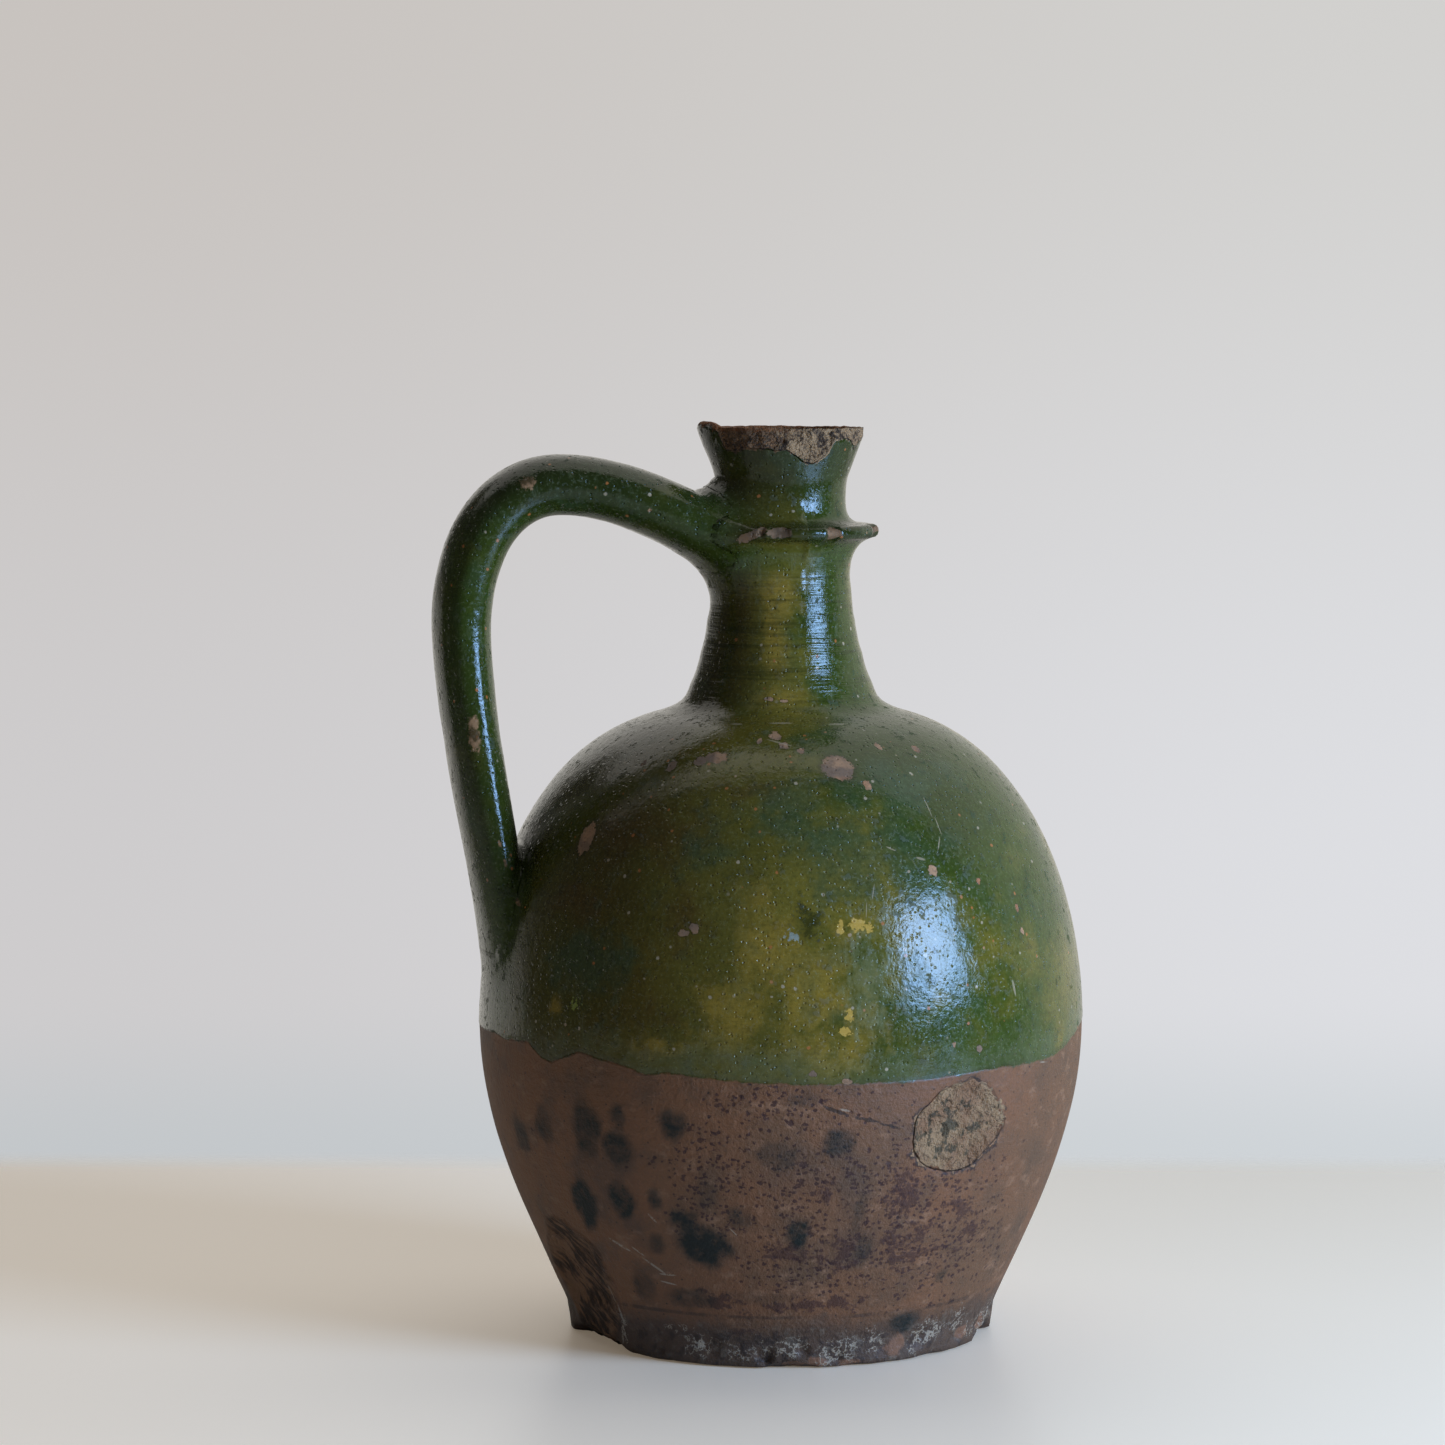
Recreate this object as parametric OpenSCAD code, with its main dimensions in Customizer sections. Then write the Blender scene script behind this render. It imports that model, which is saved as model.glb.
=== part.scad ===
// Oil jug of green-glazed earthenware, one fired piece: a thrown body, neck and mouth,
// with a pulled strap handle luted to the neck and to the belly, and a worn rim and foot.
// Millimetres, +Z up, origin at the centre of the base, handle towards -X.
// Bearings are degrees round the axis from +X, so -90 looks towards -Y.

/* [Foot] */
// Radius of the foot at the top of its bottom bevel
foot_r = 70.5; // [64:0.5:76]
// Height of the upright band round the foot
foot_h = 9; // [6:0.5:12]
// How far the wall overhangs the foot at the top of the band
foot_step = 1.2; // [0.5:0.1:3]
// Bevel worn on the bottom edge
foot_bevel = 0.8; // [0.4:0.1:2]
// Thickness of the floor
floor_t = 8; // [6:0.5:12]
// Radius of the corner between floor and wall, inside
floor_corner = 12; // [8:0.5:16]

/* [Body] */
// Radius of the belly at its widest
belly_r = 100.7; // [94:0.1:106]
// Height at which the belly is widest
belly_z = 103; // [96:0.5:110]
// Lean of the wall outwards where it leaves the foot, degrees
foot_lean = 23.3; // [18:0.1:28]
// How long the wall keeps that lean
foot_pull = 30; // [22:0.5:36]
// How long the wall stays upright below the widest part
belly_pull_low = 35.5; // [28:0.5:42]
// How long the wall stays upright above the widest part
belly_pull_high = 47.5; // [40:0.5:52]
// Height at which the shoulder turns up into the neck
shoulder_z = 205.8; // [200:0.1:212]
// Radius at which the shoulder turns up into the neck
shoulder_r = 42; // [38:0.5:46]
// Fall of the shoulder there, degrees
shoulder_fall = 14.6; // [10:0.1:20]
// How long the shoulder keeps that fall
shoulder_pull = 40; // [32:0.5:44]
// Thickness of the body wall
body_wall = 6; // [4.5:0.1:8]

/* [Neck] */
// Radius of the neck where it rises from the shoulder
neck_base_r = 31.5; // [29:0.1:34]
// Rise of the cove between shoulder and neck
cove_h = 6.2; // [4:0.1:9]
// Lean of the neck inwards at its base, degrees
neck_lean = 23.7; // [18:0.1:28]
// How long the neck keeps that lean
neck_pull = 13.5; // [9:0.5:18]
// Radius of the neck at its waist, under the collar
neck_r = 22.9; // [20.5:0.1:25]
// Drop of the waist below the middle of the collar
waist_drop = 13.6; // [11:0.1:17]
// Thickness of the neck wall at the waist
neck_wall = 7.3; // [5.5:0.1:8.5]

/* [Collar] */
// Radius of the collar that stops a tied cover
collar_r = 32.3; // [29.5:0.1:35]
// Height of the middle of the collar
collar_z = 266.6; // [262:0.1:271]
// Thickness of the collar near its edge
collar_t = 4; // [3:0.1:5.5]
// Length of the rounding on the collar's edge
collar_round = 1.6; // [0.8:0.1:2.2]

/* [Mouth] */
// Outer radius at the throat, above the collar
throat_r = 21.3; // [19.5:0.1:23]
// Height of the throat above the middle of the collar
throat_rise = 9.6; // [7:0.1:12]
// Outer radius of the lip
mouth_r = 28; // [26:0.1:30]
// Lean of the mouth outwards under the lip, degrees
mouth_lean = 16; // [8:0.5:24]
// Thickness of the mouth wall at the lip
mouth_wall = 4.6; // [3.5:0.1:6]
// Height of the lip where it survives
jug_h = 302.8; // [298:0.1:308]
// Height of the rounding over the lip
lip_round = 2.4; // [1.5:0.1:3]

/* [Handle] */
// Thickness of the strap at the grip
strap_t = 19; // [15:0.5:22]
// Width of the strap at the grip
strap_w = 32; // [26:0.5:38]
// Distance of the strap's outer face from the axis at the grip
reach = 117.4; // [110:0.1:124]
// Height of the middle of the grip
grip_z = 235; // [228:0.5:242]
// Height of the top of the arch
arch_top = 292.2; // [288:0.1:298]
// Distance of the top of the arch from the axis
arch_x = 75; // [70:0.5:80]
// How far below the middle of the collar the strap's middle meets the neck
root_below = 7; // [3:0.1:11]
// Slope of the strap where it leaves the neck, degrees
root_slope = 25; // [18:0.5:32]
// Thickness of the strap's root, inside the neck
root_t = 36; // [30:0.5:40]
// Width of the strap's root, where it is smeared round the neck
root_w = 43; // [36:0.5:48]
// Height of the strap's lower end above the widest part of the belly
toe_rise = 9; // [2:0.5:16]
// Thickness of the strap at its lower end
toe_t = 16; // [13:0.5:18]
// Width of the strap at its lower end
toe_w = 44; // [38:0.5:48]

/* [Wear] */
// Height lost along the worn top of the rim
rim_loss = 2.1; // [1:0.1:3]
// Height of the broken band across the front of the rim
rim_band = 7; // [4:0.1:9]
// Extra depth of the spall below that band
rim_spall = 5; // [2:0.1:7]
// Radius left at the top of the broken band
rim_bite_r = 25.4; // [24.6:0.1:26.2]
// Width of the round spall on the lower belly
spall_w = 36; // [26:1:44]
// Height of that spall
spall_h = 29; // [22:1:36]
// Depth of that spall
spall_d = 2.6; // [1.5:0.1:3.5]
// Height of that spall's middle
spall_z = 80; // [70:1:90]
// Width of the piece broken from the foot
foot_break_w = 40; // [26:1:46]
// Height of the piece broken from the foot
foot_break_h = 5; // [2:0.5:7]
// Height of the torn hollow above the broken foot
scar_h = 42; // [30:1:46]
// Width of that hollow
scar_w = 30; // [22:1:36]
// Depth of that hollow
scar_d = 2.6; // [1.5:0.1:3.4]

/* [Hidden] */
round_fn = 56;
slack = 1;
lip_z = jug_h - lip_round;
waist_z = collar_z - waist_drop;
throat_z = collar_z + throat_rise;
neck_base_z = shoulder_z + cove_h;
bore_r = neck_r - neck_wall;
lip_in_r = mouth_r - mouth_wall;

// The point a given length away from another, at an angle up from +X
function away(p, angle, length) = p + length * [cos(angle), sin(angle)];

// Points on a cubic curve from a to d, pulled towards b and c; the first point is left out
function curve(a, b, c, d, n) =
    [for (i = [1:n]) let (t = i / n, s = 1 - t)
        s * s * s * a + 3 * s * s * t * b + 3 * s * t * t * c + t * t * t * d];

// Points on a quarter or half of an ellipse about c, from one angle to another
function oval(c, rx, ry, from, to, n) =
    [for (i = [0:n]) let (a = from + (to - from) * i / n) c + [rx * cos(a), ry * sin(a)]];

// Outline of the outside, as radius and height, from the foot to the lip
foot_top = [foot_r + foot_step, foot_h];
belly = [belly_r, belly_z];
shoulder = [shoulder_r, shoulder_z];
neck_base = [neck_base_r, neck_base_z];
waist = [neck_r, waist_z];
throat = [throat_r, throat_z];
collar_mid = [collar_r - collar_round, collar_z];
collar_low = collar_mid - [0, collar_t / 2];
collar_high = collar_mid + [0, collar_t / 2];
lip = [mouth_r, lip_z];

foot_line = [[foot_r - foot_bevel, 0], [foot_r, foot_bevel], foot_top];
low_wall = curve(foot_top, away(foot_top, 90 - foot_lean, foot_pull),
    belly - [0, belly_pull_low], belly, 9);
high_wall = curve(belly, belly + [0, belly_pull_high],
    away(shoulder, -shoulder_fall, shoulder_pull), shoulder, 13);
cove = curve(shoulder, away(shoulder, 180 - shoulder_fall, cove_h * 0.8),
    away(neck_base, neck_lean - 90, cove_h / 2), neck_base, 4);
neck_line = curve(neck_base, away(neck_base, 90 + neck_lean, neck_pull),
    waist - [0, neck_pull], waist, 5);
under_collar = curve(waist, waist + [0, waist_drop * 0.45],
    [neck_r + (collar_r - neck_r) * 0.27, collar_low[1] - collar_t * 0.3], collar_low, 4);
collar_edge = oval(collar_mid, collar_round, collar_t / 2, -90, 90, 4);
over_collar = curve(collar_high, [throat_r + (collar_r - throat_r) * 0.2, collar_high[1]],
    throat - [0, throat_rise * 0.6], throat, 4);
mouth_line = curve(throat, throat + [0, (lip_z - throat_z) / 2],
    away(lip, -90 - mouth_lean, (lip_z - throat_z) / 2.5), lip, 6);
lip_line = oval(lip - [mouth_wall / 2, 0], mouth_wall / 2, lip_round, 30, 180, 5);
wall_line = concat(low_wall, high_wall, cove, neck_line);
outside = concat(foot_line, wall_line, under_collar, collar_edge, over_collar, mouth_line);

// Outer radius of the jug, and the lean of its wall in degrees, at a height
function outer_r(z) = lookup(z, [for (p = outside) [p[1], p[0]]]);
function lean_at(z) = atan((outer_r(z + 1) - outer_r(z - 1)) / 2);

// Thickness of the wall at a height: even up the body, thicker up the neck
function wall_at(z) = lookup(z, [[shoulder_z, body_wall], [waist_z, neck_wall]]);

// Thickness of the wall at a height in the mouth, thinner towards the lip
function mouth_wall_at(z) = lookup(z, [[throat_z, throat_r - bore_r], [lip_z, mouth_wall]]);

// A line of points moved inwards by the wall's thickness, square to the line
function inwards(line) =
    [for (i = [1:len(line) - 2]) let (d = line[i + 1] - line[i - 1], u = d / norm(d))
        line[i] + wall_at(line[i][1]) * [-u[1], u[0]]];

// Solid form of the thrown jug, without its hollow
module thrown_form() {
    rotate_extrude($fn = round_fn)
        polygon(concat([[0, 0]], outside, lip_line, [[0, lip_z]]));
}

// Hollow of the jug: round floor corner, wall, neck bore and flared mouth
module hollow() {
    inner_wall = [for (p = inwards(wall_line)) if (p[1] > floor_t + floor_corner) p];
    corner_r = inner_wall[0][0] - floor_corner * tan(foot_lean);
    corner = curve([corner_r - floor_corner, floor_t], [corner_r, floor_t],
        [corner_r, floor_t], inner_wall[0], 3);
    mouth_in = [for (p = mouth_line) [p[0] - mouth_wall_at(p[1]), p[1]]];
    rotate_extrude($fn = round_fn)
        polygon(concat([[0, floor_t], [corner_r - floor_corner, floor_t]], corner,
            [for (i = [1:len(inner_wall) - 1]) inner_wall[i]],
            [[bore_r, waist_z], [bore_r, throat_z]], mouth_in,
            [[lip_in_r, jug_h + slack], [0, jug_h + slack]]));
}

// Middle line of the strap, as distance from the axis and height, from the neck to the belly
strap_steps = 10;
toe_steps = 14;
toe_sink = 1.2;
arch_share = strap_steps / (2 * strap_steps + toe_steps);
arch_point = [arch_x, arch_top - strap_t_at(arch_share) / 2];
root_point = [neck_r - neck_wall / 2 - root_t / 2 * sin(root_slope), collar_z - root_below];
grip_point = [reach - strap_t / 2, grip_z];
toe_point = [belly_r - toe_t / 2 - toe_sink, belly_z + toe_rise];
strap_line = concat([root_point],
    curve(root_point, away(root_point, root_slope, 20), arch_point - [19, 0], arch_point, strap_steps),
    curve(arch_point, arch_point + [21, 0], grip_point + [0, 27], grip_point, strap_steps),
    curve(grip_point, grip_point - [0.3, 35], toe_point + [2.2, 38], toe_point, toe_steps));

// Share of a flare that is left some way along the strap: all at its start, none past its end
function flare(s, end, power) = s > end ? 0 : pow(1 - s / end, power);
function strap_t_at(s) = strap_t + (root_t - strap_t) * (flare(s, 0.12, 2) * 0.62 + flare(s, 0.5, 1) * 0.38)
    + (toe_t - strap_t) * flare(1 - s, 0.45, 0.8);
function strap_w_at(s) = strap_w + (root_w - strap_w) * flare(s, 0.22, 1.2)
    + (toe_w - strap_w) * flare(1 - s, 0.4, 1.2);

// Sign-keeping power, which squares the sides of an ellipse a little
function soft(v, power) = sign(v) * pow(abs(v), power);

// One oval section of the strap at a step of its middle line, square to that line
function strap_ring(i, sides) =
    let (last = len(strap_line) - 1,
        d = strap_line[min(i + 1, last)] - strap_line[max(i - 1, 0)],
        u = d / norm(d), s = i / last,
        half_t = strap_t_at(s) / 2, half_w = strap_w_at(s) / 2)
    [for (k = [0:sides - 1]) let (a = 360 * k / sides,
        out = half_t * soft(cos(a), 0.9), side = -half_w * soft(sin(a), 0.9),
        p = strap_line[i] + out * [-u[1], u[0]])
        [-p[0], side, p[1]]];

// Faces of a tube of rings of points, with both ends closed
function tube_faces(rings, sides) = concat(
    [[for (k = [0:sides - 1]) sides - 1 - k]],
    [for (i = [0:rings - 2], k = [0:sides - 1]) let (a = i * sides + k, b = i * sides + (k + 1) % sides)
        each [[a, b, b + sides], [a, b + sides, a + sides]]],
    [[for (k = [0:sides - 1]) (rings - 1) * sides + k]]);

// The strap handle, lofted through its sections, its ends buried in the neck and the belly
module strap() {
    sides = 20;
    rings = len(strap_line);
    polyhedron([for (i = [0:rings - 1]) each strap_ring(i, sides)], tube_faces(rings, sides));
}

// Ripple of a break, between -1 and 1, the same each time for a bearing and a seed
function ripple(a, seed) = 0.5 * sin(5.3 * a + 61 * seed) + 0.3 * sin(11.9 * a + 97 * seed)
    + 0.2 * sin(27.1 * a + 151 * seed);

// One everywhere between two bearings, fading to nothing over some degrees outside them
function between(a, from, to, fade) = max(0, min(1, (a - from) / fade + 1, (to - a) / fade + 1));

// Cutter for the worn rim: its section is swept round the mouth, leaving the lip over the handle,
// and both its ends run out above the lip
rim_from = -160;
rim_to = 148;
rim_steps = 38;
rim_rise = 2.2;
spall_bearing = -81;
function rim_top(a) = jug_h + rim_rise - (rim_loss + rim_rise) * between(a, rim_from + 12, rim_to - 12, 12)
    + 0.2 * ripple(a, 1);
function rim_low(a) = rim_top(a) - 1 - (rim_band - 1) * between(a, -146, -66, 9)
    - (rim_band - 1) / 2 * between(a, -57, 10, 9) - rim_spall * exp(-pow((a - spall_bearing) / 11, 2))
    + 0.7 * ripple(a, 2);
function rim_bite(a) = mouth_r - 1.2 - (mouth_r - 1.2 - rim_bite_r) * between(a, -146, -60, 14)
    + 0.25 * ripple(a, 3);
module rim_break() {
    clear = 3;
    polyhedron([for (i = [0:rim_steps]) let (a = rim_from + (rim_to - rim_from) * i / rim_steps)
        each [for (p = [
            [rim_bite(a), rim_top(a)],
            [outer_r(rim_low(a)) + 0.4, rim_low(a) - 0.3],
            [mouth_r + clear, rim_low(a) - 0.3],
            [mouth_r + clear, jug_h + clear],
            [lip_in_r - clear, jug_h + clear],
            [lip_in_r - clear, rim_top(a)]])
            [p[0] * cos(a), p[0] * sin(a), p[1]]]],
        tube_faces(rim_steps + 1, 6));
}

// A rough pebble about the origin, half sizes outwards, along and up, its facets set by a seed
module pebble(half, seed, sides = 9) {
    levels = sides > 9 ? [66, 38, 12, -12, -38, -66] : [60, 20, -20, -60];
    rings = len(levels);
    polyhedron([for (i = [0:rings - 1], k = [0:sides - 1])
        let (a = 360 * (k + i / 2) / sides, b = levels[i],
            size = cos(b) * (1 + 0.09 * ripple(a + 90 * i, seed)))
        [half[0] * size * cos(a), half[1] * size * sin(a), half[2] * sin(b)]],
        tube_faces(rings, sides));
}

// Puts a cutter on the wall at a bearing and a height, square to the wall, lifted clear and turned
module on_wall(bearing, z, lift, turn = 0) {
    rotate([0, 0, bearing]) translate([outer_r(z), 0, z])
        rotate([0, lean_at(z), 0]) rotate([turn, 0, 0]) translate([lift, 0, 0]) children();
}

// A dished chip of a given width, height and depth in a wall that curves with radius r
module dish(width, height, depth, r, seed) {
    lift = depth * 1.4;
    rim = lift + width * width / (8 * r);
    half = depth + lift;
    spread = sqrt(1 - pow(rim / half, 2));
    translate([lift, 0, 0]) pebble([half, width / 2 / spread, height / 2 / spread], seed, 15);
}

// Round spall on the lower belly, where a lime pit has burst off a flake
module belly_spall() {
    on_wall(-69.4, spall_z, 0, 8) dish(spall_w, spall_h, spall_d, belly_r, 4);
}

// Piece broken from the foot under the handle's near side, and the torn hollow above it
module foot_break() {
    rotate([0, 0, -165]) translate([foot_r, 0, 0])
        pebble([foot_break_h * 1.6, foot_break_w / 2, foot_break_h], 5);
    on_wall(-157, scar_h / 2, 0, -24) dish(scar_w, scar_h, scar_d, belly_r, 6);
}

// Small chips off the collar's edge: bearing and width
collar_chips = [[-120.7, 9], [-105.5, 8], [-71, 6], [-26, 9]];
module collar_wear() {
    for (i = [0:len(collar_chips) - 1])
        rotate([0, 0, collar_chips[i][0]])
            translate([collar_r + 0.6, 0, collar_z - collar_t / 3])
                pebble([2.2, collar_chips[i][1] / 2, collar_t * 0.6], 7 + i);
}

// Small bites off the foot's bottom edge: bearing, width and height
foot_bites = [[-101, 15, 1.6], [-85, 9, 1.2], [-60, 12, 1.4], [-30, 16, 4], [25, 14, 1.6], [95, 18, 1.8]];
module foot_wear() {
    for (i = [0:len(foot_bites) - 1])
        rotate([0, 0, foot_bites[i][0]])
            translate([foot_r + 0.5, 0, 0])
                pebble([foot_bites[i][2] * 1.5, foot_bites[i][1] / 2, foot_bites[i][2]], 12 + i);
}

// The whole jug
module jug() {
    color("darkolivegreen") difference() {
        union() {
            thrown_form();
            strap();
        }
        hollow();
        rim_break();
        collar_wear();
        belly_spall();
        foot_break();
        foot_wear();
    }
}

jug();
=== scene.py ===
import math

import bpy
import numpy as np
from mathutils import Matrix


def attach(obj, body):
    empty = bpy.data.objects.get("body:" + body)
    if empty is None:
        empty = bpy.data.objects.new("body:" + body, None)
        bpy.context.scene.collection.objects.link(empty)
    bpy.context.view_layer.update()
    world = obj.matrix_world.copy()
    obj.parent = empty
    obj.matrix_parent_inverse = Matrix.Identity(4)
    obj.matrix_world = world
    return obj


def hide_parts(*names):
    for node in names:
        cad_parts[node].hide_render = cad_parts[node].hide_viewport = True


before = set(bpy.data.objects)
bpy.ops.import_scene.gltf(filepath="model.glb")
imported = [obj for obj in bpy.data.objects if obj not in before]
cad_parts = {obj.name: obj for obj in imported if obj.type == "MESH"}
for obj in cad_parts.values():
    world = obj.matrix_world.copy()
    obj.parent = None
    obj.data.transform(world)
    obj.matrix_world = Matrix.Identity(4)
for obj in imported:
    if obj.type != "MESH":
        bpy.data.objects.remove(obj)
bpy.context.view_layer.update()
mm = 0.001

# Camera

view = {
    "bearing": -104.0,  # degrees from +X, where the camera stands
    "distance": 1.495,
    "height": 0.328,
    "pitch": 4.8,  # degrees down
    "leftOfAxis": 0.745,  # degrees that the axis of the lens passes left of the jug
    "lens": 112.1,
}


def makeCamera():
    data = bpy.data.cameras.new("camera")
    data.lens = view["lens"]
    data.clip_start, data.clip_end = 0.05, 50
    camera = bpy.data.objects.new("camera", data)
    bearing, away = math.radians(view["bearing"]), view["distance"]
    camera.location = (away * math.cos(bearing), away * math.sin(bearing), view["height"])
    turn = math.radians(view["bearing"] + 90 + view["leftOfAxis"])
    camera.rotation_euler = (math.radians(90 - view["pitch"]), 0, turn)
    bpy.context.scene.collection.objects.link(camera)
    bpy.context.scene.camera = camera


makeCamera()

# Noise and small formulas, on whole arrays


# value noise: a hashed number at each corner of a lattice, blended by smoothstep, from -1 to 1
def grain(points, size, seed):
    place = points / size
    base = np.floor(place).astype(np.int64)
    t = place - base
    t = t * t * (3 - 2 * t)
    total = 0
    for corner in np.ndindex(2, 2, 2):
        cell = (base + corner).astype(np.uint32)
        code = (cell[..., 0] * np.uint32(374761393) + cell[..., 1] * np.uint32(668265263)
                + cell[..., 2] * np.uint32(1274126177) + np.uint32(seed * 362437))
        code = (code ^ (code >> np.uint32(13))) * np.uint32(1274126177)
        code = code ^ (code >> np.uint32(16))
        total = total + np.prod(np.where(corner, t, 1 - t), axis=-1) * (code / 2**32)
    return 2 * total - 1


# sum of grains, each half the size of the last and with half its weight
def roughGrain(points, size, seed, octaves=3):
    weights = 0.5 ** np.arange(octaves)
    layers = [w * grain(points, size * w, seed + i) for i, w in enumerate(weights)]
    return sum(layers) / weights.sum()


# 0 below low, 1 above high, a smooth step between
def rise(value, low, high):
    t = np.clip((value - low) / (high - low), 0, 1)
    return t * t * (3 - 2 * t)


# degrees from one bearing to another, the short way round
def turnFrom(bearing, middle):
    return (bearing - middle + 180) % 360 - 180


# one between two bearings, falling to nothing over some degrees outside them
def between(bearing, start, end, fade):
    half = (end - start) / 2
    away = np.abs(turnFrom(bearing, start + half)) - half
    return 1 - rise(away, 0, fade)


# value along a closed ring of bearings, from a few chosen bearings
def aroundRing(bearing, stops):
    place = np.array([s[0] for s in stops], float)
    value = np.array([s[1] for s in stops], float)
    return np.interp(bearing, place, value, period=360)


# a length laid off at an angle in degrees: how far across and up, or along X and Y
def aimed(length, angle):
    return length * np.array([math.cos(math.radians(angle)), math.sin(math.radians(angle))])


# cubic curve from a to d, pulled towards b and c, without its first point
def cubic(a, b, c, d, n=24):
    t = (np.arange(1, n + 1) / n)[:, None]
    s = 1 - t
    return s**3 * np.array(a) + 3 * s * s * t * np.array(b) + 3 * s * t * t * np.array(c) + t**3 * np.array(d)


# The thrown form, in millimetres and degrees

form = {
    "footR": 70.5, "footH": 9.0, "footStep": 1.2, "footBevel": 0.8, "floorT": 8.0,
    "bellyR": 100.7, "bellyZ": 103.0, "footLean": 23.3, "footPull": 30.0,
    "bellyPullLow": 35.5, "bellyPullHigh": 47.5,
    "shoulderR": 42.0, "shoulderZ": 205.8, "shoulderFall": 14.6, "shoulderPull": 40.0, "bodyWall": 6.0,
    "neckBaseR": 31.5, "coveH": 6.2, "neckLean": 23.7, "neckPull": 13.5, "neckR": 22.9,
    "waistDrop": 13.6, "neckWall": 7.3,
    "collarR": 32.3, "collarZ": 266.6, "collarT": 4.0, "collarRound": 1.6,
    "throatR": 21.3, "throatRise": 9.6, "mouthR": 28.0, "mouthLean": 16.0, "mouthWall": 4.6,
    "jugH": 302.8, "lipRound": 2.4,
}


# outside of the jug as radius and height, from the top of the foot's band to the lip: cubic curves
# from point to point, each with its number of steps at the end, and an arc round the collar's edge
def outsideLine():
    f = form
    footTop = np.array([f["footR"] + f["footStep"], f["footH"]])
    belly = np.array([f["bellyR"], f["bellyZ"]])
    shoulder = np.array([f["shoulderR"], f["shoulderZ"]])
    neckBase = np.array([f["neckBaseR"], f["shoulderZ"] + f["coveH"]])
    waist = np.array([f["neckR"], f["collarZ"] - f["waistDrop"]])
    throat = np.array([f["throatR"], f["collarZ"] + f["throatRise"]])
    lip = np.array([f["mouthR"], f["jugH"] - f["lipRound"]])
    edge = np.array([f["collarR"] - f["collarRound"], f["collarZ"]])
    half = np.array([0, f["collarT"] / 2])
    up = np.array([0.0, 1.0])
    bend = np.radians(np.linspace(-90, 90, 13))
    collarEdge = edge + np.stack([f["collarRound"] * np.cos(bend), half[1] * np.sin(bend)], 1)
    under, above = edge - half, edge + half
    underPull = [f["neckR"] + (f["collarR"] - f["neckR"]) * 0.27, under[1] - f["collarT"] * 0.3]
    abovePull = [f["throatR"] + (f["collarR"] - f["throatR"]) * 0.2, above[1]]
    throatRun = lip[1] - throat[1]
    return np.concatenate([
        [footTop],
        cubic(footTop, footTop + aimed(f["footPull"], 90 - f["footLean"]),
              belly - up * f["bellyPullLow"], belly, 60),
        cubic(belly, belly + up * f["bellyPullHigh"], shoulder + aimed(f["shoulderPull"], -f["shoulderFall"]),
              shoulder, 80),
        cubic(shoulder, shoulder + aimed(f["coveH"] * 0.8, 180 - f["shoulderFall"]),
              neckBase + aimed(f["coveH"] / 2, f["neckLean"] - 90), neckBase),
        cubic(neckBase, neckBase + aimed(f["neckPull"], 90 + f["neckLean"]),
              waist - up * f["neckPull"], waist, 40),
        cubic(waist, waist + up * f["waistDrop"] * 0.45, underPull, under, 30),
        collarEdge[1:],
        cubic(above, abovePull, throat - up * f["throatRise"] * 0.6, throat, 30),
        cubic(throat, throat + up * throatRun / 2,
              lip + aimed(throatRun / 2.5, -90 - f["mouthLean"]), lip, 40),
    ])


outside = outsideLine()


# radius of the thrown outside at a height
def outerR(z):
    return np.interp(z, outside[:, 1], outside[:, 0])


# thickness of the wall: even up the body, thicker up the neck
def wallAt(z):
    waistZ = form["collarZ"] - form["waistDrop"]
    return np.interp(z, [form["shoulderZ"], waistZ], [form["bodyWall"], form["neckWall"]])


# unit normals of a line of points, to the right of its direction
def lineNormals(line):
    along = np.gradient(line, axis=0)
    along /= np.linalg.norm(along, axis=1)[:, None]
    return np.stack([along[:, 1], -along[:, 0]], 1)


# a line taken again with steps that follow the wanted step at each height
def withSteps(line, heights, steps):
    lengths = np.linalg.norm(np.diff(line, axis=0), axis=1)
    middle = (line[1:, 1] + line[:-1, 1]) / 2
    load = np.concatenate([[0], np.cumsum(lengths / np.interp(middle, heights, steps))])
    place = np.linspace(0, load[-1], int(math.ceil(load[-1])) + 1)
    return np.stack([np.interp(place, load, line[:, i]) for i in (0, 1)], 1)


# Losses: where the rim, the foot, the collar and the walls are broken. Bearings are in degrees, sizes in
# mm. A stretch is start, end and fade; a bite is bearing, half width in degrees and height; a foot chip is
# bearing, height, size and depth; a collar chip is bearing, half width in mm and depth

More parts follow.
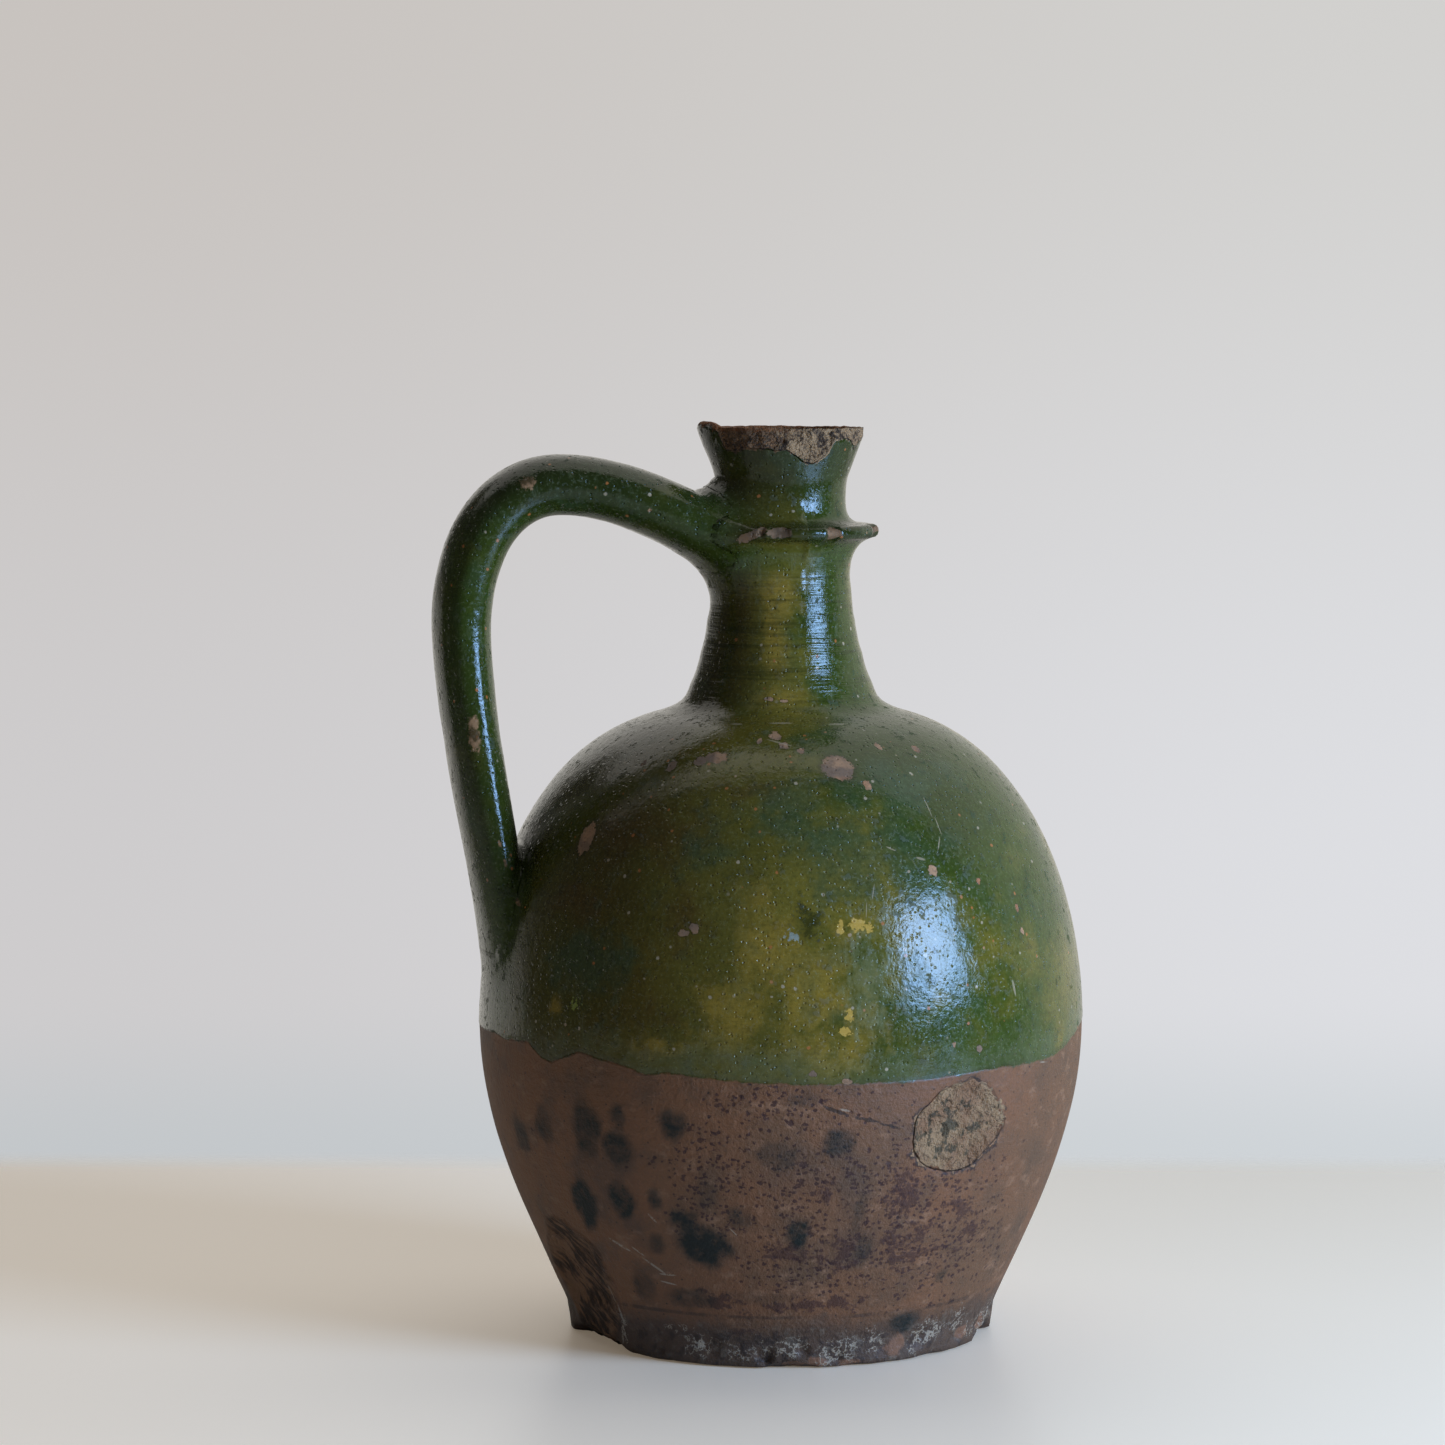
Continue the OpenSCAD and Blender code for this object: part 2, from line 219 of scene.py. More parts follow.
losses = {
    "rimTop": 300.7, "rimFrom": -147.0, "rimTo": 142.0, "rimFade": 22.0, "rimWorn": 301.5,
    "rimBandLow": 294.0, "rimRightLow": 297.3, "rimBackLow": 299.0, "rimBiteR": 25.4,
    "rimBand": (-150, -68, 7), "rimRight": (-60, 0, 9), "rimBite": (-150, -50, 14),
    "rimSpallAt": -81.3, "rimSpallWidth": 14.5, "rimSpallDepth": 4.8,
    "rimEndAt": -35.0, "rimEndWidth": 8.0, "rimEndDepth": 3.6,
    "footBites": [(-165, 17, 5.6), (-147, 6, 1.0), (-101, 7, 2.0), (-84, 4, 0.9), (-60, 5, 0.8),
                  (-31, 9, 5.0), (25, 9, 1.6), (95, 10, 1.8)],
    "footChips": [(-137, 5.0, 6.0, 1.6), (-122, 6.5, 7.0, 1.8), (-108, 4.0, 6.5, 2.0), (-98, 6.0, 5.0, 1.5),
                  (-90, 3.5, 6.0, 1.8), (-77, 5.0, 5.0, 1.2), (-66, 6.5, 8.0, 2.0), (-50, 4.5, 6.0, 1.6),
                  (-38, 6.0, 7.0, 1.8), (-12, 5, 7, 1.5), (40, 5, 8, 1.8), (70, 6, 6, 1.4), (125, 5, 9, 1.8)],
    "spall": {"at": -68.4, "z": 80.0, "width": 36.0, "height": 29.0, "depth": 2.6, "turn": 8.0,
              "grain": 8, "seed": 6},
    "scar": {"at": -162.0, "z": 21.5, "width": 38.0, "height": 48.0, "depth": 2.6, "turn": -22.0,
             "grain": 12, "seed": 8},
    "collarChips": [(-120.7, 4.5, 1.9), (-105.5, 4.0, 1.6), (-71.4, 3.0, 1.2), (-26.0, 5.0, 1.5)],
}

# Glaze line: how far down the glaze runs, as bearing and height
glazeEdge = [(-172.6, 104.1), (-167.3, 102.8), (-162, 103.6), (-157.9, 104), (-154, 100), (-150.6, 98.8),
             (-147.3, 101.4), (-143.5, 103.7), (-139.5, 102.5), (-132.1, 100.4), (-129.3, 98.5),
             (-124.9, 99.7), (-120.4, 99.2), (-113.6, 98), (-105, 97.3), (-90.2, 96.9), (-76, 96.8),
             (-63.7, 98), (-43.3, 97.9), (-26.9, 104), (-8, 106), (12, 102), (34, 98), (52, 99.5),
             (75, 96.5), (101, 99), (128, 101.5), (150, 98.5), (171, 102)]

# Glaze chips on the collar and the walls: bearing, height, width and height of the chip, and its turn
collarPaint = [(-121.5, 266.2, 10.5, 3.6, 6), (-105.0, 267.0, 8.8, 3.6), (-71.0, 266.6, 5.6, 4.0),
               (-24, 267.2, 10, 2.2), (8, 267, 6, 2.4), (64, 266.4, 7, 3.2), (118, 266.8, 9, 3)]
shoulderChips = [(-111.1, 212.8, 3.4, 1.5), (-102.1, 212.2, 2.6, 1.2), (-106.1, 202.4, 4.0, 2.4),
                 (-111.4, 201, 1.8, 1.6), (-103, 199.7, 3.2, 2.0), (-97.7, 198.3, 2.4, 1.8),
                 (-127.6, 195, 5.0, 3.0), (-123.2, 196.2, 7.5, 3.4), (-135.9, 193.2, 3.6, 3.6),
                 (-146.1, 193.4, 2.0, 2.0), (-88, 193.3, 11.0, 7.4), (-81.5, 188.1, 3.0, 2.6),
                 (-71.4, 199, 2.2, 2.0), (-57.9, 197.4, 2.8, 2.2)]
bellyChips = [(-71.1, 161.8, 3.8, 3.4), (-60.1, 157.2, 2.4, 2.2), (-120.6, 145, 3.6, 3.4),
              (-122.7, 143.6, 3.2, 2.2), (-50.4, 147.4, 2.2, 2.6), (-50.5, 140.1, 2.0, 2.2),
              (-65.2, 105.1, 2.6, 2.6), (-71.1, 107.3, 1.8, 1.6), (-98.2, 100.5, 3.0, 2.0),
              (-92, 97.7, 3.0, 2.0), (-151.0, 170.0, 6.5, 10.5)]

# Dark blots of glaze and soot on the bare clay: bearing, height, width, height and strength
clayBlots = [(-143.4, 80.5, 11, 19, 0.75), (-155.5, 76.5, 8, 12, 0.7), (-164.6, 71, 9, 12, 0.7),
             (-136.4, 74.0, 10, 11, 0.8), (-135.6, 83.3, 5, 7, 0.6), (-124.4, 83.0, 9, 9, 0.85),
             (-147.8, 52.3, 11, 15, 1.0), (-138.0, 55.5, 8, 12, 0.85), (-129.3, 57.6, 5, 6, 0.75),
             (-124.1, 51.3, 8, 7, 0.9), (-119.9, 42.8, 17, 12.5, 1.05), (-130.8, 41.4, 7, 5, 0.7),
             (-111.9, 52.3, 7, 7, 0.5), (-118.5, 60.5, 7, 9, 0.3), (-104.6, 73.5, 11, 9, 0.42),
             (-93.1, 77.9, 8, 9, 0.65), (-99.9, 46.6, 7, 10, 0.95), (-86.0, 41.5, 5, 10, 0.5),
             (-64.2, 28.4, 6, 4, 0.55), (-71.5, 13.8, 12, 6, 0.8), (-125.8, 22.6, 16, 6, 0.6),
             (-137.5, 26, 8, 11, 0.5), (-88.0, 54, 4, 14, 0.35), (-109, 24.5, 18, 4, 0.3),
             (-100, 92, 10, 5, 0.35)]

# Wide soft places: speckle, maroon, crust and grey on the clay; ochre, blue and brown in the glaze
speckleAreas = [(-96.2, 58.9, 26, 30), (-78.5, 57.3, 46, 38), (-62, 37.1, 30, 24), (-94.2, 35.5, 40, 16),
                (-104, 88, 30, 14), (-118, 62, 24, 30)]
maroonAreas = [(-78.9, 60.8, 9, 17), (-76.1, 40.5, 16, 14), (-101.9, 40.5, 14, 6), (-90, 38.5, 14, 8),
               (-96, 61, 8, 5), (-64, 52, 10, 7), (-111.3, 8, 15, 9), (-118, 23, 16, 5), (-94, 22, 24, 5),
               (-60, 44, 8, 10)]
crustAreas = [(-125.3, 7.5, 12, 7), (-133, 11, 9, 5), (-107.9, 5.3, 11, 6), (-101, 8, 8, 5),
              (-90.8, 4, 9, 7), (-79, 8, 7, 6), (-62, 8, 10, 8), (-50, 10, 8, 9), (-31, 8, 12, 10),
              (-44, 5, 8, 5), (-115, 4, 7, 5), (-149.5, 19, 4, 12), (-149, 10, 4, 10), (30, 6, 16, 8),
              (80, 7, 20, 8), (130, 6, 18, 8)]
greyAreas = [(-91, 60, 10, 34), (-100, 68, 26, 18), (-93, 78, 12, 12), (-140, 62, 34, 44),
             (-88, 44, 20, 20)]
ochreAreas = [(-105.5, 142, 22, 36), (-98, 124, 40, 30), (-90, 146, 20, 10), (-114, 120, 34, 22),
              (-93, 108, 26, 16), (-150, 118, 10, 6), (-128, 108, 20, 10), (-104, 246, 13, 18),
              (-110, 232, 8, 24), (-101, 214, 18, 8)]
blueAreas = [(-84, 168, 58, 40), (-70, 188, 40, 16), (-142, 132, 36, 30), (-118, 166, 24, 14),
             (-92, 118, 30, 12), (-78, 130, 18, 30), (-104, 184, 40, 14)]
brownAreas = [(-136, 174, 52, 26), (-123, 148, 22, 22), (-112, 186, 30, 10), (-148, 150, 30, 14),
              (-126, 118, 22, 12)]

# More of each on the side that the photo doesn't show, scattered by chance with a fixed seed
chance = np.random.default_rng(11)


# ovals as bearing, height, width and height
def scattered(number, heights, sizes):
    at = chance.uniform(8, 172, number)
    z = chance.uniform(*heights, number)
    size = chance.uniform(*sizes, (2, number))
    return [tuple(round(float(v), 1) for v in oval) for oval in zip(at, z, size[0], size[1])]


clayBlots += [(*oval, round(float(strength), 2)) for oval, strength in
              zip(scattered(12, (30, 86), (5, 13)), chance.uniform(0.4, 1.0, 12))]
speckleAreas += scattered(4, (30, 80), (24, 44))
greyAreas += scattered(5, (20, 90), (20, 40))
ochreAreas += scattered(6, (100, 160), (14, 36))
shoulderChips += scattered(6, (190, 203), (2, 6))
bellyChips += scattered(5, (100, 170), (2, 5))
blueAreas += scattered(7, (110, 200), (24, 60))
brownAreas += scattered(5, (110, 195), (24, 54))


# share of a round or oval place: 1 at its middle, 0 at its edge, below 0 outside
def ovalShare(bearing, z, at, middle, width, height, turn=0):
    x = np.radians(turnFrom(bearing, at)) * outerR(middle)
    y = z - middle
    c, s = math.cos(math.radians(turn)), math.sin(math.radians(turn))
    return 1 - np.hypot((x * c + y * s) / (width / 2), (y * c - x * s) / (height / 2))


# the same for one of the broken places on the wall, with a ragged edge
def brokenShare(bearing, z, points, place):
    share = ovalShare(bearing, z, place["at"], place["z"], place["width"], place["height"], place["turn"])
    return share + 0.16 * roughGrain(points, place["grain"], place["seed"])


# Grid of the thrown form: rows run from the middle of the underside, up the outside,
# over the lip and down the inside; columns run round the axis, closer together in front

grid = {
    "columns": 360,
    "frontFrom": -200.0, "frontTo": -8.0, "backSpread": 1.7,
    "footReach": 14.0,  # height where the foot's rows end
    "rimReach": 284.0,  # height where the rim's rows start
    "mouthMiddle": 292.0,  # height where the inside of the mouth has a row of its own
    "poleR": 1.5, "underR": 56.0, "floorR": 30.0,  # rows round the poles, on the underside and on the floor
    "stepHeights": [14, 45, 60, 63, 94, 96, 107, 109, 190, 200, 214, 258, 262, 272, 276, 284],
    "steps": [2.0, 2.4, 2.4, 2.0, 2.0, 1.3, 1.3, 3.6, 3.6, 2.8, 2.2, 2.2, 1.0, 1.0, 2.0, 2.0],
    "insideHeights": [0, 12, 200, 230, 284], "insideSteps": [14, 11, 13, 6, 4],
}
footCounts = [3, 6, 8, 7, 4]  # rows: underside, its edge, broken foot, upright band, up to the wall
rimCounts = [8, 11, 9, 8]  # rows: mouth, broken band, top of the break, down inside


# bearings of the columns: even steps of the running sum of 1 / spread, where spread is 1 in front
def bearings():
    g = grid
    fine = np.linspace(g["frontFrom"], g["frontFrom"] + 360, 7201)
    behind = 1 - between(fine, g["frontFrom"] + 12, g["frontTo"] - 12, 14)
    load = np.cumsum(1 / (1 + (g["backSpread"] - 1) * behind))
    load = (load - load[0]) / (load[-1] - load[0])
    return np.interp(np.arange(g["columns"]) / g["columns"], load, fine)


# a line of key points that changes round the jug: keys is a list of (radius, height) arrays,
# and counts says how many rows lie between each key and the next
def keyedRows(keys, counts):
    rows = []
    for (a, b), n in zip(zip(keys[:-1], keys[1:]), counts):
        t = (np.arange(n) / n)[:, None]
        rows.append(np.stack([a[i] * (1 - t) + b[i] * t for i in (0, 1)], -1))
    return np.concatenate(rows)


# points at a radius and height, round the axis: r cos a, r sin a, z
def ringPoints(bearing, r, z):
    a = np.radians(bearing)
    return np.stack(np.broadcast_arrays(r * np.cos(a), r * np.sin(a), z), -1)


# height of the broken edge of the foot above the ground, at a bearing: a low power of a parabola for each
# bite, and a little noise
def footLoss(bearing):
    loss = np.zeros_like(bearing)
    for at, half, height in losses["footBites"]:
        loss = np.maximum(loss, height * np.clip(1 - (turnFrom(bearing, at) / half) ** 2, 0, None) ** 0.6)
    ring = ringPoints(bearing, form["footR"], 0)
    return loss * (1 + 0.25 * grain(ring, 5, 11)) + 0.25 * (1 + roughGrain(ring, 6, 12))


# rows under and round the foot: flat underside, worn or broken edge, upright band
def footRows(bearing):
    f, g = form, grid
    loss = footLoss(bearing)
    ones = np.ones_like(bearing)
    top = g["footReach"]
    edgeZ = np.maximum(loss, f["footBevel"] * 0.5)
    inR = f["footR"] - 0.6 - 1.3 * loss  # a bite takes the edge of the underside in as well
    outR = f["footR"] + f["footStep"] * np.clip(edgeZ / f["footH"], 0, 1)
    keys = [(g["poleR"] * ones, 0 * ones), (g["underR"] * ones, 0 * ones), (inR, 0 * ones), (outR, edgeZ),
            (np.maximum(outerR(f["footH"]) * ones, outR), np.maximum(f["footH"] * ones, edgeZ + 1)),
            (outerR(top) * ones, top * ones)]
    return keyedRows(keys, footCounts)


# height of the lower edge of the broken band round the mouth
def rimLow(bearing):
    s = losses
    ring = ringPoints(bearing, form["mouthR"], 0)
    low = s["rimBackLow"] * np.ones_like(bearing)
    low -= (s["rimBackLow"] - s["rimBandLow"]) * between(bearing, *s["rimBand"])
    low -= (s["rimBackLow"] - s["rimRightLow"]) * between(bearing, *s["rimRight"])
    low -= s["rimSpallDepth"] * np.exp(-((turnFrom(bearing, s["rimSpallAt"]) / s["rimSpallWidth"]) ** 2))
    low -= s["rimEndDepth"] * np.exp(-((turnFrom(bearing, s["rimEndAt"]) / s["rimEndWidth"]) ** 2))
    return low + 1.1 * roughGrain(ring, 4.5, 21)


# rows up the mouth, over the lip and down inside it: the lip as thrown, and the lip as broken,
# mixed by the share of it that is lost
def rimRows(bearing):
    f, s = form, losses
    ones = np.ones_like(bearing)
    start = grid["rimReach"]
    lipZ = f["jugH"] - f["lipRound"]
    inR = f["mouthR"] - f["mouthWall"]
    startIn = boreAt(start)
    ring = ringPoints(bearing, form["mouthR"], 0)
    # as thrown: up the mouth, round the lip and down inside
    lowZ = s["rimBandLow"]
    middle = f["mouthR"] - f["mouthWall"] / 2
    rounding = [(middle + f["mouthWall"] / 2 * math.cos(a), lipZ + f["lipRound"] * math.sin(a))
                for a in np.radians([0, 30, 60, 90, 120, 150, 180])]
    wallA = [(outerR(z), z) for z in np.linspace(start, lowZ, 8)]
    wallB = [(outerR(z), z) for z in np.linspace(lowZ, lipZ, 5)][:-1] + rounding[:3]
    wallC = rounding[2:6]
    within = grid["mouthMiddle"]
    wallD = [rounding[5], rounding[6], (boreAt(within), within), (startIn, start)]
    whole = []
    for wall, n in zip([wallA, wallB, wallC, wallD], rimCounts):
        wall = np.array(wall)
        load = np.concatenate([[0], np.cumsum(np.linalg.norm(np.diff(wall, axis=0), axis=1))])
        place = np.arange(n) / n * load[-1]
        whole.append(np.stack([np.interp(place, load, wall[:, i]) for i in (0, 1)], 1))
    whole = np.concatenate(whole)[:, None, :] * np.ones((1, len(bearing), 1))
    # as broken: up to the band's lower edge, in over the break, across its top and down inside
    low = np.minimum(rimLow(bearing), s["rimTop"] - 1.2)
    top = s["rimTop"] + 0.25 * roughGrain(ring, 7, 22)
    bite = s["rimBiteR"] + (f["mouthR"] - 0.9 - s["rimBiteR"]) * (1 - between(bearing, *s["rimBite"]))
    bite = bite + 0.25 * roughGrain(ring, 5, 23)
    broken = keyedRows([(outerR(start) * ones, start * ones), (outerR(low), low), (bite, top),
                        (inR * ones + 0.5, top - 0.15), (startIn * ones, start * ones)], rimCounts)
    lost = between(bearing, s["rimFrom"], s["rimTo"], s["rimFade"])[None, :, None]
    return whole * (1 - lost) + broken * lost


# radius of the inside in the neck and the mouth: the bore up to the throat, then the outside less a wall
# that thins towards the lip
def boreAt(z):
    f = form
    boreR = f["neckR"] - f["neckWall"]
    throatZ = f["collarZ"] + f["throatRise"]
    wall = np.interp(z, [throatZ, f["jugH"] - f["lipRound"]], [f["throatR"] - boreR, f["mouthWall"]])
    return np.where(np.asarray(z) < throatZ, boreR, outerR(z) - wall)


# inside line from the mouth down to the middle of the floor
def insideLine():
    f = form
    normals = lineNormals(outside)
    inner = outside - normals * wallAt(outside[:, 1])[:, None]
    waistZ = f["collarZ"] - f["waistDrop"]
    inner = inner[(outside[:, 1] > f["floorT"] + 14) & (outside[:, 1] < waistZ - 2)][::-1]
    mouthZ = np.linspace(grid["rimReach"], waistZ, 9)[:-1]
    corner = inner[-1] + np.array([-5, -9])
    floor = [[r, f["floorT"]] for r in (corner[0] - 14, grid["floorR"], grid["poleR"])]
    mouth = np.stack([boreAt(mouthZ), mouthZ], 1)
    return np.concatenate([mouth, inner, [corner + [0, 1.5], corner - [4, 3.2]], floor])


# Relief of the wall: heights in mm, each with the size of its grain in mm

surface = {
    "sag": 0.30, "sagSize": 42, "wave": 0.12, "waveSize": 16, "ring": 0.09, "ringSize": 4.4,
    "neckRing": 0.16, "neckRingSize": 2.6, "neckWave": 0.12, "neckWaveSize": 5.5,
    "ringStretch": 0.06,  # rings run round, so their noise is stretched round the axis
    "glazeThick": 0.18, "glazeBead": 0.10, "beadAbove": 1.2, "beadWidth": 1.4,
}


# how far the wall is pushed out, in millimetres: slow waves and throwing rings, less the spall and the torn
# hollow, plus the glaze with its thick lower edge, less the collar's chips
def wallRelief(bearing, z, points):
    s, f, u = losses, form, surface
    onNeck = rise(z, 208, 216) * (1 - rise(z, 252, 258))
    spin = points * [u["ringStretch"], u["ringStretch"], 1]
    relief = u["sag"] * grain(points, u["sagSize"], 1) + u["wave"] * grain(points, u["waveSize"], 2)
    relief += (1 - onNeck) * u["ring"] * grain(spin, u["ringSize"], 3) * rise(z, 105, 112)
    relief += onNeck * (u["neckRing"] * grain(spin, u["neckRingSize"], 4)
                        + u["neckWave"] * grain(spin, u["neckWaveSize"], 5))
    share = brokenShare(bearing, z, points, s["spall"])
    relief -= rise(share, 0, 0.16) * (s["spall"]["depth"] * (0.55 + 0.45 * rise(share, 0.1, 0.8))
                                      + 0.8 * roughGrain(points, 5, 7))
    share = brokenShare(bearing, z, points, s["scar"])
    relief -= rise(share, 0, 0.45) * (s["scar"]["depth"] + 1.0 * roughGrain(points, 7, 9))
    over = z - aroundRing(bearing, glazeEdge)
    relief += (u["glazeThick"] * rise(over, -0.8, 0.8)
               + u["glazeBead"] * np.exp(-(((over - u["beadAbove"]) / u["beadWidth"]) ** 2)))
    for at, half, depth in s["collarChips"]:
        ring = np.degrees(half / f["collarR"])
        inside = np.clip(1 - (turnFrom(bearing, at) / ring) ** 2, 0, None)
        edge = rise(outerR(z), f["collarR"] - 5, f["collarR"] - 1)
        edge = edge * rise(z, f["collarZ"] - 4, f["collarZ"] - 2)
        relief -= depth * inside * edge * (1 + 0.3 * grain(points, 1.6, 13))
    return relief


# how far the foot's band is chipped in: shells around some places, and lumps in between
def footDent(bearing, z, points):
    dent = 0.5 * roughGrain(points, 6, 45) - 0.2
    for at, middle, size, depth in losses["footChips"]:
        x = np.radians(turnFrom(bearing, at)) * form["footR"]
        share = 1 - np.hypot(x / (size * 0.6), (z - middle) / (size * 0.45)) + 0.25 * grain(points, 3, 46)
        dent = np.maximum(dent, depth * rise(share, 0, 0.35) * (0.6 + 0.4 * grain(points, 2.5, 47)))
    return dent


# the whole shell as a closed grid, with one point at each pole
def thrownShell():
    g = grid
    bearing = bearings()
    wall = outside[(outside[:, 1] > g["footReach"]) & (outside[:, 1] < g["rimReach"])]
    ends = [[[outerR(z), z]] for z in (g["footReach"], g["rimReach"])]
    wall = withSteps(np.concatenate([ends[0], wall, ends[1]]), g["stepHeights"], g["steps"])
    inner = withSteps(insideLine(), g["insideHeights"], g["insideSteps"])
    foot = footRows(bearing)
    rim = rimRows(bearing)
    spread = np.ones((1, len(bearing), 1))
    rows = np.concatenate([foot, wall[:-1, None, :] * spread, rim, inner[:, None, :] * spread])
    a = np.radians(bearing)[None, :]
    radius, z = rows[..., 0], rows[..., 1]
    points = np.stack([radius * np.cos(a), radius * np.sin(a), z], -1)
    # relief of the outer wall, square to it, fading out at the foot and at the rim
    first, last = len(foot), len(foot) + len(wall) - 1
    normal = lineNormals(wall)[:-1, None, :]
    outer = points[first:last]
    relief = wallRelief(np.degrees(a) * np.ones(radius[first:last].shape), z[first:last], outer)
    fadeRows = rise(z[first:last], g["footReach"], g["footReach"] + 3)
    fadeRows = fadeRows * (1 - rise(z[first:last], g["rimReach"] - 3, g["rimReach"]))
    push = (relief * fadeRows)[..., None] * np.concatenate(
        [normal[..., :1] * np.cos(a)[..., None], normal[..., :1] * np.sin(a)[..., None],
         normal[..., 1:] * np.ones_like(a)[..., None]], -1)
    points[first:last] += push
    # rough clay where the rim and the foot are broken
    rimFirst = last
    edges = np.cumsum([0] + rimCounts)
    stops = [edges[1] - 1, edges[1] + 1, edges[3] - 1, edges[3] + 2]
    onBreak = np.interp(np.arange(edges[-1]), stops, [0, 1, 1, 0])
    lost = between(bearing, losses["rimFrom"], losses["rimTo"], losses["rimFade"])
    jag = onBreak[:, None] * lost[None, :]
    block = points[rimFirst:rimFirst + len(rim)]
    for axis in range(3):
        block[..., axis] += jag * 0.55 * roughGrain(block, 2.8, 30 + axis)
    edges = np.cumsum([0] + footCounts)
    stops = [edges[1], edges[2] - 1, edges[3] + 2, edges[5]]
    footJag = np.interp(np.arange(edges[-1]), stops, [0, 1, 1, 0.4])
    dent = footDent(bearing[None, :], points[:len(foot), :, 2], points[:len(foot)])
    points[:len(foot), :, :2] *= (1 - footJag[:, None] * dent / form["footR"])[..., None]
    worn = 0.25 + 0.75 * rise(footLoss(bearing), 0.8, 2.5)
    block = points[:len(foot)]
    for axis in range(3):
        block[..., axis] += footJag[:, None] * worn[None, :] * 0.7 * roughGrain(block, 4.0, 40 + axis)
    block[..., 2] = np.maximum(block[..., 2], 0.02 * footJag[:, None])
    return points


# faces of a grid that closes round its columns, and ends in a pole below and above
def closedGridFaces(rows, columns):
    i, j = np.meshgrid(np.arange(rows - 1), np.arange(columns), indexing="ij")
    a = i * columns + j
    b = i * columns + (j + 1) % columns
    quads = np.stack([a, b, b + columns, a + columns], -1).reshape(-1, 4)
    j = np.arange(columns)
    low = np.stack([np.full(columns, rows * columns), (j + 1) % columns, j], -1)
    top = (rows - 1) * columns
    high = np.stack([np.full(columns, rows * columns + 1), top + j, top + (j + 1) % columns], -1)
    return quads, low, high


# an object from points in mm and sets of faces
def meshFrom(name, points, faceSets):
    mesh = bpy.data.meshes.new(name)
    faces = [tuple(face) for faceSet in faceSets for face in faceSet.tolist()]
    mesh.from_pydata((points * mm).tolist(), [], faces)
    mesh.validate()
    mesh.update()
    made = bpy.data.objects.new(name, mesh)
    bpy.context.scene.collection.objects.link(made)
    return made


# a closed object from a grid of points, with a pole in the middle of its first and its last row
def gridPiece(name, points):
    rows, columns = points.shape[:2]
    poles = [points[0].mean(0), points[-1].mean(0)]
    flat = np.concatenate([points.reshape(-1, 3), poles])
    return meshFrom(name, flat, closedGridFaces(rows, columns))


# The strap handle: an oval section carried along its middle line

strap = {
    "thick": 19.0, "wide": 32.0, "reach": 117.4, "gripZ": 235.0, "archTop": 292.2, "archX": 75.0,
    "rootBelow": 4.0, "rootOut": 26.0, "rootSlope": 25.0, "rootThick": 25.0, "rootWide": 41.0,
    "toeRise": 9.0, "toeThick": 16.0, "toeWide": 44.0, "toeSink": 1.2,
    # pulls of the middle line
    "rootPullIn": 8.0, "rootPullOut": 15.0, "archPullIn": 19.0, "archPullOut": 21.0,
    "gripPullUp": 27.0, "gripPull": (0.3, 35.0), "toePull": (2.2, 38.0),
    "rings": 190, "sides": 36, "edge": 2.22,  # power of the oval section: 2 is an ellipse
    "neckFillet": 12.0, "collarFillet": 9.0, "bellyFillet": 4.0,  # lengths of the fillets along each surface
    "splitZ": 225.0,  # the joint with the neck is above this, the one with the belly below
}


# share of a flare that is left some way along the strap: all at its start, none past its end
def flare(s, end, power):
    return np.clip(1 - s / end, 0, None) ** power


# thickness and width along the strap: the grip's, and a share of what the root and the toe have more
def strapThick(s):
    h = strap
    return (h["thick"] + (h["rootThick"] - h["thick"]) * (0.6 * flare(s, 0.16, 1.5) + 0.4 * flare(s, 0.5, 1))
            + (h["toeThick"] - h["thick"]) * flare(1 - s, 0.45, 0.8))


def strapWide(s):
    h = strap
    return (h["wide"] + (h["rootWide"] - h["wide"]) * (1 - rise(s, 0.05, 0.32))
            + (h["toeWide"] - h["wide"]) * flare(1 - s, 0.4, 1.2))


# middle line of the strap, as distance from the axis and height, with the share of the way along it
def strapLine():
    h, f = strap, form
    steps = {"root": 18, "arch": 42, "grip": 60, "toe": 84}  # points on the way to each
    archShare = (steps["root"] + steps["arch"]) / sum(steps.values())
    arch = np.array([h["archX"], h["archTop"] - float(strapThick(archShare)) / 2])
    root = np.array([0, f["collarZ"] - h["rootBelow"]])
    neckSide = root + [h["rootOut"], h["rootBelow"]]
    grip = np.array([h["reach"] - h["thick"] / 2, h["gripZ"]])
    toe = np.array([f["bellyR"] - h["toeThick"] / 2 - h["toeSink"], f["bellyZ"] + h["toeRise"]])
    line = np.concatenate([
        [root],
        cubic(root, root + [h["rootOut"] / 2, 0], neckSide - aimed(h["rootPullIn"], h["rootSlope"]), neckSide,
              steps["root"]),
        cubic(neckSide, neckSide + aimed(h["rootPullOut"], h["rootSlope"]), arch - [h["archPullIn"], 0], arch,
              steps["arch"]),
        cubic(arch, arch + [h["archPullOut"], 0], grip + [0, h["gripPullUp"]], grip, steps["grip"]),
        cubic(grip, grip - h["gripPull"], toe + h["toePull"], toe, steps["toe"])])
    share = np.linspace(0, 1, len(line))
    place = np.linspace(0, 1, h["rings"])
    return np.stack([np.interp(place, share, line[:, i]) for i in (0, 1)], 1), place


# power of a value that keeps its sign
def signedPower(v, power):
    return np.sign(v) * np.abs(v) ** power


